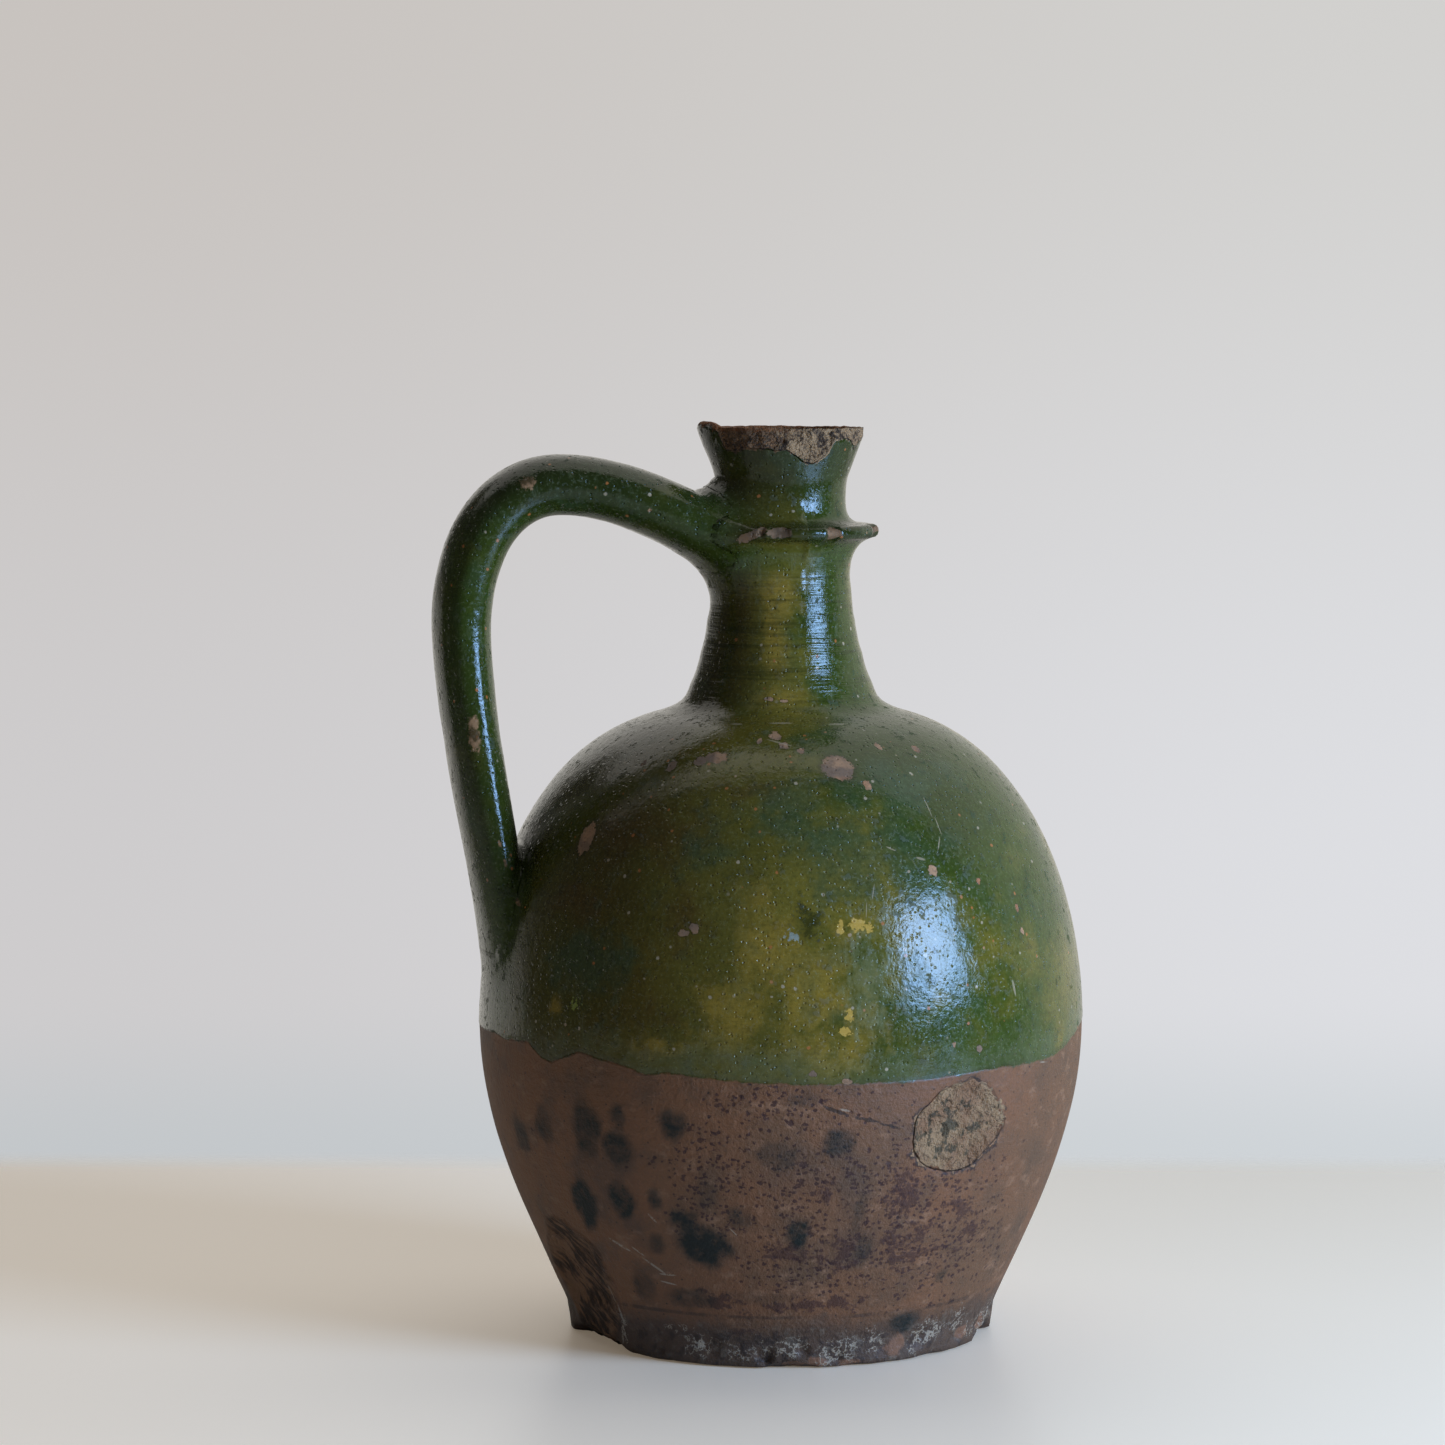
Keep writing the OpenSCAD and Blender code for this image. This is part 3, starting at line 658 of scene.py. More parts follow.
# rings of the strap: centre + thickness * cos along the line's normal + width * sin along Y,
# with shallow lengthwise grooves from pulling
def strapRings():
    line, s = strapLine()
    normal = lineNormals(line)
    around = np.radians(np.arange(strap["sides"]) * 360 / strap["sides"])[None, :]
    groove = 1 + 0.010 * np.sin(5 * around + 0.6) + 0.007 * np.sin(9 * around + 2 + 1.5 * s[:, None])
    out = -strapThick(s)[:, None] / 2 * signedPower(np.cos(around), 2 / strap["edge"]) * groove
    side = -strapWide(s)[:, None] / 2 * signedPower(np.sin(around), 2 / strap["edge"]) * groove
    x = line[:, None, 0] + out * normal[:, None, 0]
    z = line[:, None, 1] + out * normal[:, None, 1]
    points = np.stack([-x, side * np.ones_like(x), z], -1)
    lumps = 0.22 * grain(points, 20, 51) + 0.10 * grain(points, 8, 52)
    middle = np.stack([-line[:, 0], 0 * s, line[:, 1]], -1)[:, None, :]
    ray = points - middle
    return points + ray / np.linalg.norm(ray, axis=-1, keepdims=True) * lumps[..., None]


# distance from the strap's surface, below 0 inside it, and the direction away from it: first order, from
# the power sum of the two shares of the section's half sizes
def strapDistance(points):
    line, s = strapLine()
    normal = lineNormals(line)
    flat = np.stack([-points[:, 0], points[:, 2]], 1)
    nearest = np.argmin(((flat[:, None, :] - line[None, :, :]) ** 2).sum(-1), axis=1)
    offset = flat - line[nearest]
    normal = normal[nearest]
    across = (offset * normal).sum(1)
    beyond = np.abs(offset[:, 0] * normal[:, 1] - offset[:, 1] * normal[:, 0])
    half = np.stack([strapThick(s[nearest]), strapWide(s[nearest])], 1) / 2
    power = strap["edge"]
    part = np.stack([across, points[:, 1]], 1) / half
    share = (np.abs(part) ** power).sum(1) ** (1 / power) + 1e-6
    slope = signedPower(part, power - 1) / half / share[:, None] ** (power - 1)
    steep = np.linalg.norm(slope, axis=1) + 1e-9
    slope /= steep[:, None]
    away = np.stack([-normal[:, 0] * slope[:, 0], slope[:, 1], normal[:, 1] * slope[:, 0]], 1)
    return (share - 1) / steep + np.clip(beyond - 2, 0, None), away


# the thrown outside without its collar
def coreLine():
    low, high = form["collarZ"] - form["waistDrop"], form["collarZ"] + form["throatRise"]
    return outside[(outside[:, 1] <= low) | (outside[:, 1] >= high)]


# distance from a turned line, below 0 within it, and the direction away from it
def turnedDistance(points, line):
    line = withSteps(line, [0, form["jugH"]], [0.8, 0.8])
    radius = np.hypot(points[:, 0], points[:, 1])
    flat = np.stack([radius, points[:, 2]], 1)
    nearest = np.argmin(((flat[:, None, :] - line[None, :, :]) ** 2).sum(-1), axis=1)
    normal = lineNormals(line)[nearest]
    distance = ((flat - line[nearest]) * normal).sum(1)
    return distance, np.concatenate([points[:, :2] / radius[:, None] * normal[:, :1], normal[:, 1:]], 1)


# the same for the collar, as a flat ring with a round edge
def collarDistance(points):
    radius = np.hypot(points[:, 0], points[:, 1])
    half = form["collarT"] / 2
    out = np.clip(radius - (form["collarR"] - half), 0, None)
    up = points[:, 2] - form["collarZ"]
    length = np.hypot(out, up) + 1e-6
    away = np.stack([points[:, 0] / radius * out, points[:, 1] / radius * out, up], 1) / length[:, None]
    return length - half, away


# two distances joined with a round fillet: in the corner, the distance from a circle that touches both
# surfaces, R - |C - p|, where C - p is the sum of both directions that makes it R from each; R makes the
# fillet as long along each surface at any angle between them
def filleted(first, second, length):
    a, awayA = first
    b, awayB = second
    c = np.clip((awayA * awayB).sum(1), -0.8, 0.93)
    radius = length * np.sqrt((1 + c) / (1 - c))
    u, v = radius - a, radius - b
    inCorner = (u > v * c) & (v > u * c) & (u > 0) & (v > 0)
    toCentre = ((u - v * c)[:, None] * awayA + (v - u * c)[:, None] * awayB) / (1 - c * c)[:, None]
    reach = np.sqrt(np.clip(u * u + v * v - 2 * u * v * c, 0, None) / (1 - c * c)) + 1e-9
    distance = np.where(inCorner, radius - reach, np.minimum(a, b))
    plain = np.where((a < b)[:, None], awayA, awayB)
    return distance, np.where(inCorner[:, None], toCentre / reach[:, None], plain)


def filletLength(points):
    return np.where(points[:, 2] > strap["splitZ"], strap["neckFillet"], strap["bellyFillet"])


# distance from the end of a fillet between two surfaces, below 0 within it
def pastFillet(first, second, length):
    bend = np.clip((first[1] * second[1]).sum(1), -0.8, 0.93)
    return np.maximum(first[0], second[0]) - length * np.sqrt(1 - bend**2)


# distance from the whole form round the joints: strap and core with a fillet, and both with the collar
def jointDistance(points):
    joined = filleted(strapDistance(points), turnedDistance(points, coreLine()), filletLength(points))
    return filleted(joined, collarDistance(points), strap["collarFillet"])


# vertices of a mesh, in millimetres
def vertexArray(mesh):
    values = np.zeros(len(mesh.vertices) * 3, np.float32)
    mesh.vertices.foreach_get("co", values)
    return values.reshape(-1, 3).astype(float) / mm


# a piece's modifiers made into its mesh
def applied(piece):
    depsgraph = bpy.context.evaluated_depsgraph_get()
    mesh = bpy.data.meshes.new_from_object(piece.evaluated_get(depsgraph))
    piece.modifiers.clear()
    old = piece.data
    piece.data = mesh
    bpy.data.meshes.remove(old)


# a piece joined with another, or cut by it, which is used up
def combine(piece, other, operation):
    step = piece.modifiers.new("combine", "BOOLEAN")
    step.operation, step.solver, step.object = operation, "MANIFOLD", other
    applied(piece)
    bpy.data.objects.remove(other)


# a plug of the neck's bore and half its wall, which keeps the strap's root out of the bore
def neckCore():
    z = np.array([225.0, 226, 255, 284, 285])
    r = np.array([2.0, 17.5, 18.0, 18.0, 2.0])
    points = ringPoints(np.arange(0, 360, 7.5)[None, :], r[:, None], z[:, None])
    return gridPiece("neckCore", points)


# vertices near the joints of the strap are moved onto the filleted form, with rounds of moving each towards
# the mean of its neighbours in between
def blendJoints(piece, rounds=8):
    mesh = piece.data
    points = vertexArray(mesh)
    edges = np.zeros(len(mesh.edges) * 2, np.int32)
    mesh.edges.foreach_get("vertices", edges)
    edges = edges.reshape(-1, 2)
    # vertices on the strap's side and outside the bore
    near = np.where((points[:, 0] < 8) & (np.abs(points[:, 1]) < 45) & (points[:, 2] > 85)
                    & (np.hypot(points[:, 0], points[:, 1]) > 18.5))[0]
    toStrap = strapDistance(points[near])
    toCore = turnedDistance(points[near], coreLine())
    away = pastFillet(toStrap, toCore, filletLength(points[near]))
    away = np.minimum(away, pastFillet(toStrap, collarDistance(points[near]), strap["collarFillet"]))
    outer = np.minimum(toStrap[0], toCore[0]) > -3.5
    weight = np.zeros(len(points))
    weight[near] = (1 - rise(away, 0.0, 2.5)) * outer * (1 - rise(points[near, 0], -6, 3))
    near = np.where(weight > 0)[0]
    # edges at each vertex, for the mean of its neighbours
    counts = np.bincount(edges.ravel(), minlength=len(points))[:, None]
    for turn in range(rounds):
        for _ in range(2):
            distance, direction = jointDistance(points[near])
            points[near] -= (weight[near] * np.clip(distance, -1.5, 1.5))[:, None] * direction
        if turn < rounds - 1:
            total = np.zeros_like(points)
            np.add.at(total, edges[:, 0], points[edges[:, 1]])
            np.add.at(total, edges[:, 1], points[edges[:, 0]])
            points += 0.5 * weight[:, None] * (total / counts - points)
    mesh.vertices.foreach_set("co", (points * mm).astype(np.float32).ravel())
    mesh.update()


# the thrown shell and the strap, joined and filleted
def makeJug():
    jug = gridPiece("jug_fired", thrownShell())
    handle = gridPiece("handle", strapRings())
    combine(handle, neckCore(), "DIFFERENCE")
    combine(jug, handle, "UNION")
    blendJoints(jug)
    jug.data.polygons.foreach_set("use_smooth", np.ones(len(jug.data.polygons), bool))
    return jug


jug = makeJug()
print("jug made,", sum(len(p.vertices) - 2 for p in jug.data.polygons), "triangles")
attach(jug, "root")
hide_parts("jug")

# Marks: numbers on each vertex that the paint reads, as distances in mm or as shares


# depth in the deepest of many ovals, as a share, with their edges moved about by noise
def ovalField(bearing, z, points, ovals, spread=1.0, wander=2.0):
    field = np.full(len(z), -1.0)
    slide = np.degrees(wander * roughGrain(points, 9, 61) / 95)
    lift = wander * roughGrain(points, 9, 62)
    for at, middle, width, height in ovals:
        share = ovalShare(bearing + slide, z + lift, at, middle, width * spread, height * spread)
        field = np.maximum(field, share)
    return field


# share that soft blots cover: the largest strength * smooth step of an oval's share, moved about by noise
def blotShare(bearing, z, points, blots):
    cover = np.zeros(len(z))
    slide = np.degrees(2.2 * roughGrain(points, 8, 61) / 95)
    lift = 2.2 * roughGrain(points, 8, 62)
    ragged = 0.35 * roughGrain(points, 5, 63)
    for at, middle, width, height, strength in blots:
        share = ovalShare(bearing + slide, z + lift, at, middle, width * 1.25, height * 1.25)
        cover = np.maximum(cover, 1.1 * strength * rise(share + ragged * (share > -1), -0.08, 0.42))
    return cover


# distances are above 0 within a place and below 0 outside it
def makeMarks(piece):
    points = vertexArray(piece.data)
    bearing = np.degrees(np.arctan2(points[:, 1], points[:, 0]))
    radius, z = np.hypot(points[:, 0], points[:, 1]), points[:, 2]
    s = losses
    spall, scar = s["spall"], s["scar"]
    outer = radius - outerR(z)
    onWall = rise(outer, -9, -5)
    lost = between(bearing, s["rimFrom"], s["rimTo"], s["rimFade"])
    onStrap = 1 - rise(strapDistance(points)[0], 0.2, 8)
    marks = {
        "glazeOver": z - aroundRing(bearing, glazeEdge),
        "spallIn": brokenShare(bearing, z, points, spall) * spall["width"] / 2 * onWall,
        "scarIn": brokenShare(bearing, z, points, scar) * scar["width"] / 2 * onWall,
        "soot": blotShare(bearing, z, points, clayBlots),
        "maroon": ovalField(bearing, z, points, maroonAreas, 1.3, 4),
        "crusted": ovalField(bearing, z, points, crustAreas, 1.3, 3),
        "speckled": ovalField(bearing, z, points, speckleAreas, 1.2, 6),
        "greyed": ovalField(bearing, z, points, greyAreas, 1.1, 6),
        "ochre": np.where(onStrap > 0.5, -1, ovalField(bearing, z, points, ochreAreas, 1.1, 5)),
        "bluish": ovalField(bearing, z, points, blueAreas, 1.1, 6) - 1.2 * onStrap,
        "brownish": ovalField(bearing, z, points, brownAreas, 1.1, 6) - 1.2 * onStrap,
        "rimOver": np.where(z > 280, z - rimLow(bearing) * lost - s["rimWorn"] * (1 - lost), -20),
        "onStrap": onStrap,
        "inside": np.clip(-outer - 4.2, -5, 5) * (1 - onStrap),
    }
    for name, values in marks.items():
        piece.data.attributes.new(name, "FLOAT", "POINT").data.foreach_set("value", values.astype(np.float32))


makeMarks(jug)
print("marks made")

# Paint: colours of glaze, clay and broken places, as seen on a screen, 0 to 255

paints = {
    "glazeGreen": (60, 77, 25), "glazeMid": (114, 104, 42), "glazeBrown": (84, 70, 26),
    # the darkest green here is thick glaze, and also painted shade round the mouth and the collar
    "glazeDeepAndShade": (34, 42, 17), "glazeOchre": (156, 130, 54), "glazeOlive": (86, 82, 30),
    "glazeUmber": (84, 60, 28), "glazeBlue": (60, 80, 56), "strapGreen": (52, 70, 24),
    "haze": (122, 130, 98), "glazeLip": (34, 38, 16), "dust": (182, 168, 148),
    "yellowCrust": (194, 160, 80), "sparkle": (136, 146, 72), "silver": (150, 162, 160),
    "insideGlaze": (40, 38, 24),
    "clay": (118, 84, 59), "clayRed": (131, 88, 59), "clayGrey": (94, 73, 56), "clayPale": (160, 121, 94),
    "clayWarm": (132, 88, 50), "soot": (18, 31, 28), "speck": (58, 30, 30), "maroon": (68, 40, 36),
    # the pale foot colour here is worn clay, laid on as painted light on the side toward the window
    "pit": (46, 35, 31), "footDark": (74, 62, 54), "footWornAndLit": (122, 110, 98), "footClay": (140, 100, 76),
    "crust": (184, 172, 156),
    "chip": (176, 138, 108), "chipDark": (128, 106, 90), "chipOrange": (180, 112, 66),
    "chipCollar": (96, 76, 54), "scarBrown": (150, 112, 82), "scarDark": (66, 50, 38),
    "rimClay": (162, 132, 100), "rimDark": (66, 50, 36), "rimBrown": (122, 84, 52),
    "rimOrange": (156, 96, 52), "spallPale": (168, 138, 106), "spallPink": (150, 114, 86),
    # the spall's edge colour is dark clay, and also painted shade round the spall's broken edge
    "spallDark": (50, 56, 44), "spallEdge": (48, 38, 32),
}
glossy = {"glaze": 0.07, "scuff": 0.32, "clay": 0.55, "broken": 0.85}  # roughness of each surface
wrapRadius = 90.0  # mm, the flat place of the wall is bearing times this, and height

jugPaint = bpy.data.materials.new("greenGlazedEarthenware")
jugPaint.use_nodes = True
tree = jugPaint.node_tree
tree.nodes.clear()


# a paint's colour as the shader counts it, which is linear
def screen(name):
    c = np.array(paints[name]) / 255
    return (*np.where(c <= 0.04045, c / 12.92, ((c + 0.055) / 1.055) ** 2.4), 1)


# one node, with its inputs linked or set
def put(kind, inputs, **settings):
    node = tree.nodes.new("ShaderNode" + kind)
    for name, setting in settings.items():
        setattr(node, name, setting)
    for key, given in inputs.items():
        if isinstance(given, bpy.types.NodeSocket):
            tree.links.new(given, node.inputs[key])
        else:
            node.inputs[key].default_value = given
    return node


# sums on numbers and places
def count(operation, a, b=0.0, c=0.0):
    return put("Math", {0: a, 1: b, 2: c}, operation=operation).outputs[0]


def dot(a, b):
    return put("VectorMath", {0: a, 1: b}, operation="DOT_PRODUCT").outputs["Value"]


def lengthOf(a):
    return put("VectorMath", {0: a}, operation="LENGTH").outputs["Value"]


def scaled(a, by, shift=(0, 0, 0)):
    return put("VectorMath", {0: a, 1: by, 2: shift}, operation="MULTIPLY_ADD").outputs[0]


def times(*parts):
    total = parts[0]
    for part in parts[1:]:
        total = count("MULTIPLY", total, part)
    return total


def plus(*parts):
    total = parts[0]
    for part in parts[1:]:
        total = count("ADD", total, part)
    return total


def largest(*parts):
    total = parts[0]
    for part in parts[1:]:
        total = count("MAXIMUM", total, part)
    return total


def less(a):
    return count("SUBTRACT", 1.0, a)


# noise about zero, times a size
def swing(noise, size):
    return times(plus(noise, -0.5), size)


# smooth step of a value between low and high
def step(value, low, high):
    return put("MapRange", {"Value": value, "From Min": low, "From Max": high},
               interpolation_type="SMOOTHSTEP").outputs[0]


# one colour over another, by a share
def over(share, below, above):
    below, above = [screen(c) if isinstance(c, str) else c for c in (below, above)]
    return put("Mix", {0: share, 6: below, 7: above}, data_type="RGBA").outputs[2]


# a coat of a colour over what is there, as thick as the product of some shares
def coat(under, colour, *shares):
    return over(times(*shares), under, colour)


# one of the numbers on the vertices
def mark(name):
    return put("Attribute", {}, attribute_name=name).outputs["Fac"]


# a place in grains of a size in mm, longer or shorter along each axis by stretch; seeds are far apart
def grained(place, size, seed, stretch):
    return scaled(place, [1 / (size * k) for k in stretch], (seed * 17.3, seed * 9.1, 0))


# noise from 0 to 1
def clouds(place, size, seed, detail=2.0, rough=0.5, stretch=(1, 1, 1)):
    return put("TexNoise", {"Vector": grained(place, size, seed, stretch), "Scale": 1.0, "Detail": detail,
                            "Roughness": rough}).outputs[0]


# distance from the nearest of scattered points, in cells of a size in mm, and a number of its own
def specks(place, size, seed, stretch=(1, 1, 1)):
    node = put("TexVoronoi", {"Vector": grained(place, size, seed, stretch), "Scale": 1.0})
    own = put("SeparateColor", {0: node.outputs["Color"]})
    return node.outputs["Distance"], own.outputs[0]


# depth inside the nearest of some ovals on the wall, as a share: 1 at a middle, 0 on an edge
def flatOvals(flatPlace, ovals):
    best, frames = None, {0: flatPlace}
    for x, z, width, height, *turn in ovals:
        turn = 8 * round((turn[0] if turn else 0) / 8)  # steps of 8 degrees, so that ovals share frames
        if turn not in frames:
            frames[turn] = put("VectorRotate", {"Vector": flatPlace, "Angle": -math.radians(turn)},
                               rotation_type="Z_AXIS").outputs[0]
        c, s = aimed(1, turn).tolist()
        wide, high = 2 / width, 2 / height
        middle = (-(x * c + z * s) * wide, (x * s - z * c) * high, 0)
        away = lengthOf(scaled(frames[turn], (wide, high, 0), middle))
        best = away if best is None else count("MINIMUM", best, away)
    return less(best)


# the same for ovals at bearings round the wall
def ovalsIn(wrapPlace, ovals):
    return flatOvals(wrapPlace, [
        (math.radians(at) * wrapRadius, z, width * wrapRadius / float(outerR(z)), height, *turn)
        for at, z, width, height, *turn in ovals])


# thin strokes: bearing, height, width, height and turn
scratches = [(-67.0, 180.6, 0.5, 7.0, 4), (-66.3, 174.8, 0.5, 6.5, -2), (-67.8, 169.6, 0.5, 6.0, -34),
             (-85.4, 156.2, 0.4, 6.0, -16), (-87.2, 150.8, 0.4, 6.0, -8), (-55.4, 122.8, 1.3, 6.5, 8),
             (-123.1, 205.4, 5.0, 0.5, 0), (-103.9, 205.8, 9.0, 0.5, 0), (-79.7, 205.3, 7.0, 0.6, 0),
             (-104.5, 200.6, 10.0, 0.5, -6), (-73.5, 165.5, 4.0, 1.0, -12), (-80.0, 169.0, 4.0, 0.6, -24)]
clayScratches = [(-141.0, 39.6, 11.0, 1.0, -23), (-133.0, 33.4, 11.0, 1.0, -33),
                 (-136.5, 38.2, 6.0, 0.7, -28), (-131.0, 50.7, 4.5, 0.9, -50),
                 (-130.3, 31.0, 7.0, 0.8, -4), (-130.6, 28.0, 7.0, 0.7, -10), (-150.2, 20.5, 1.0, 8.0, 22),
                 (-148.6, 13.0, 1.2, 9.0, 4), (-150.0, 5.5, 1.0, 6.0, -8), (-92.3, 88.6, 4.0, 0.9, -18),
                 (-46.5, 97.0, 6.0, 0.5, -10), (-113.6, 47.5, 5.0, 0.4, -45)]
groove = [(-94.0, 88.4, 11.0, 1.5, -22), (-88.0, 85.2, 11.0, 1.2, -14), (-83.6, 82.8, 9.0, 1.0, -12),
          (-41.0, 298.4, 0.8, 5.0, 8)]
yellowChips = [(-89.3, 146.4, 6.0, 4.6), (-92.6, 145.6, 2.6, 5.0), (-87.0, 145.2, 3.0, 3.0),
               (-91.5, 118.5, 3.4, 4.0), (-92.4, 113.5, 4.5, 3.0)]
footChipsPaint = [(-94.2, 1.8, 9.0, 4.0), (-72.2, 5.4, 9.0, 8.0), (-47.1, 5.0, 7.0, 5.0),
                  (-86, 1.0, 8.0, 2.6), (-36, 6.0, 5.0, 8.0), (-100, 1.2, 8.0, 2.4), (60, 4.0, 9.0, 5.0)]
strapChips = [(-88.4, 283.3, 7.5, 5.0, 12), (-106.6, 200.9, 5.0, 12.0, 8), (-106.9, 205.5, 4.5, 7.0, 0),
              (-98.8, 166.4, 1.6, 3.0, 20), (-97.0, 160.0, 1.4, 4.0, 16), (-93.2, 147.2, 1.8, 3.4, 10),
              (-48.6, 274.2, 1.7, 1.5, 0), (-47.2, 287.0, 2.0, 0.9, -10)]


# Places in mm, noises and masks that all the paint shares

place = put("VectorMath", {0: put("TexCoord", {}).outputs["Object"], 1: (1000, 1000, 1000)},
            operation="MULTIPLY").outputs[0]
axes = put("SeparateXYZ", {0: place})
bearing = count("ARCTAN2", axes.outputs[1], axes.outputs[0])
z = axes.outputs[2]
flatPlace = put("CombineXYZ", {0: times(bearing, wrapRadius), 1: z}).outputs[0]
# the same, moved about by noise, so that painted ovals come out ragged
warp = put("TexNoise", {"Vector": place, "Scale": 0.45, "Detail": 2.0}).outputs["Color"]
warp = put("VectorMath", {0: warp, 1: (0.5, 0.5, 0.5)}, operation="SUBTRACT").outputs[0]
warped = scaled(warp, (2.4, 1.6, 0), flatPlace)

fine = clouds(place, 1.1, 1, 4, 0.6)
small = clouds(place, 4.0, 2, 4, 0.6)
middle = clouds(place, 14, 3, 4, 0.6)
large = clouds(place, 55, 4, 3, 0.5)
runs = clouds(place, 2.6, 5, 4, 0.7, (1, 1, 3.5))
rings = clouds(place, 1.6, 6, 3, 0.6, (24, 24, 1))
onStrap = mark("onStrap")
onNeck = times(step(z, 205, 214), less(step(z, 256, 262)), less(onStrap))
# how much a place faces the window lamp at the right front, from -1 to 1; some paint below follows it as
# painted shade and painted light
level = put("VectorMath", {0: place, 1: (1, 1, 0)}, operation="MULTIPLY").outputs[0]
level = put("VectorMath", {0: level}, operation="NORMALIZE").outputs[0]
facing = dot(level, [*aimed(1, -50), 0.0])

# masks: 1 where a place is glazed, broken or chipped, and 0 elsewhere
edge = plus(mark("glazeOver"), swing(small, 3.0))
glazed = step(edge, -0.5, 0.4)
spallEdge = plus(mark("spallIn"), swing(small, 10))
spall = step(spallEdge, -0.1, 0.3)
scarEdge = plus(mark("scarIn"), swing(small, 9))
scar = step(scarEdge, -1.0, 3.5)
rimEdge = plus(mark("rimOver"), swing(small, 6), swing(fine, 2))
rimBroken = step(rimEdge, -0.2, 0.3)
chipDepth = plus(ovalsIn(warped, shoulderChips + bellyChips + collarPaint), swing(fine, 1.0))
chip = step(chipDepth, 0.0, 0.12)
inside = step(mark("inside"), 0.0, 1.2)


# green, brown and ochre glaze with its haze, dust, spots and yellow crust
def glazeColour():
    # brown, olive and green as the wall turns
    turned = plus(facing, swing(large, 1.1), swing(middle, 0.5))
    glaze = over(step(turned, -0.15, 0.5), "glazeBrown", "glazeMid")
    glaze = over(step(turned, 0.62, 0.92), glaze, "glazeGreen")
    glaze = coat(glaze, "glazeGreen", step(turned, 0.2, -0.8), 0.6)
    glaze = coat(glaze, "strapGreen", onStrap, 0.85)
    # the mouth darkened with deep glaze all round, and more on the side turned from the window, which is
    # painted shade
    mouthDeepAndShade = times(step(z, 262, 286), plus(0.5, times(step(facing, 0.92, 0.62), 0.35)))
    glaze = over(mouthDeepAndShade, glaze, "glazeDeepAndShade")
    glaze = coat(glaze, "glazeDeepAndShade", step(large, 0.4, 0.66), 0.4)
    olive = step(clouds(place, 38, 14, 3, 0.6, (1.3, 1.3, 0.8)), 0.5, 0.68)
    glaze = coat(glaze, "glazeOlive", olive, step(facing, 0.98, 0.7), 0.5)
    # places of their own colour
    softly = plus(swing(middle, 2.2), swing(small, 1.0))
    glaze = coat(glaze, "glazeUmber", step(plus(mark("brownish"), softly), -0.1, 0.8), 0.55)
    glaze = coat(glaze, "glazeBlue", step(plus(mark("bluish"), softly), -0.1, 0.8), 0.6)
    ochre = step(plus(mark("ochre"), swing(middle, 3.2), swing(small, 1.4)), -0.2, 0.9)
    glaze = coat(glaze, "glazeOchre", ochre, 0.7)
    # the collar darkened all round: partly thick glaze, partly painted shade of its edge and underside
    collarDeepAndShade = times(step(z, 262.5, 264.5), less(step(z, 269.0, 271.5)))
    glaze = coat(glaze, "glazeDeepAndShade", collarDeepAndShade, less(onStrap), 0.75)
    # clouds of each size, from wide to fine, runs and throwing rings
    glaze = coat(glaze, "glazeBlue", step(middle, 0.52, 0.72), 0.4)
    glaze = coat(glaze, "glazeDeepAndShade", step(small, 0.5, 0.7), 0.35)
    glaze = coat(glaze, "haze", step(fine, 0.5, 0.68), 0.15)
    glaze = coat(glaze, "glazeDeepAndShade", step(fine, 0.5, 0.32), 0.28)
    glaze = coat(glaze, "haze", step(runs, 0.54, 0.75), 0.16)
    glaze = coat(glaze, "glazeDeepAndShade", plus(times(onNeck, 0.4), 0.14), step(rings, 0.48, 0.7))
    glaze = coat(glaze, "glazeLip", step(edge, 2.5, 0.0), 0.3)
    cloudy = plus(step(edge, 16, 4), -0.4, swing(middle, 3))  # dusty haze above the glaze's lower edge
    glaze = coat(glaze, "haze", step(plus(cloudy, swing(small, 2)), 0.1, 0.9), 0.17)
    # pale haze beside the window's reflection, partly dust and partly a painted glow of that reflection, and
    # small spots
    dustAndGlow = plus(ovalsIn(warped, [(-87.5, 128, 20, 48)]), swing(runs, 3), swing(small, 1.5))
    glaze = coat(glaze, "haze", step(dustAndGlow, 0.0, 0.8), 0.4)
    dots, own = specks(place, 3.6, 1)
    spot = times(step(plus(dots, swing(fine, 0.25)), 0.2, 0.11), step(own, 0.76, 0.82))
    glaze = over(times(spot, 0.75), glaze, over(step(own, 0.9, 0.92), "dust", "chipOrange"))
    # crusts and crazed places seen in front
    yellow = step(plus(ovalsIn(warped, yellowChips), swing(fine, 2.2)), 0.05, 0.3)
    glaze = coat(glaze, "yellowCrust", yellow, 0.9)
    # a crazed patch painted bright, which is a painted glint
    sparkle = step(plus(ovalsIn(warped, [(-144.9, 118.5, 6, 4.5)]), swing(fine, 4)), 0.3, 0.6)
    glaze = coat(glaze, "sparkle", sparkle, 0.9)
    silver = step(plus(ovalsIn(warped, [(-101.7, 143.1, 5, 5.5)]), swing(fine, 4)), 0.3, 0.6)
    glaze = coat(glaze, "silver", silver, 0.8)
    cracked = plus(ovalsIn(warped, [(-99.0, 147.0, 13, 17)]), swing(small, 2.4), swing(fine, 1.6))
    glaze = coat(glaze, "glazeDeepAndShade", step(cracked, 0.2, 0.8), 0.7)
    return glaze


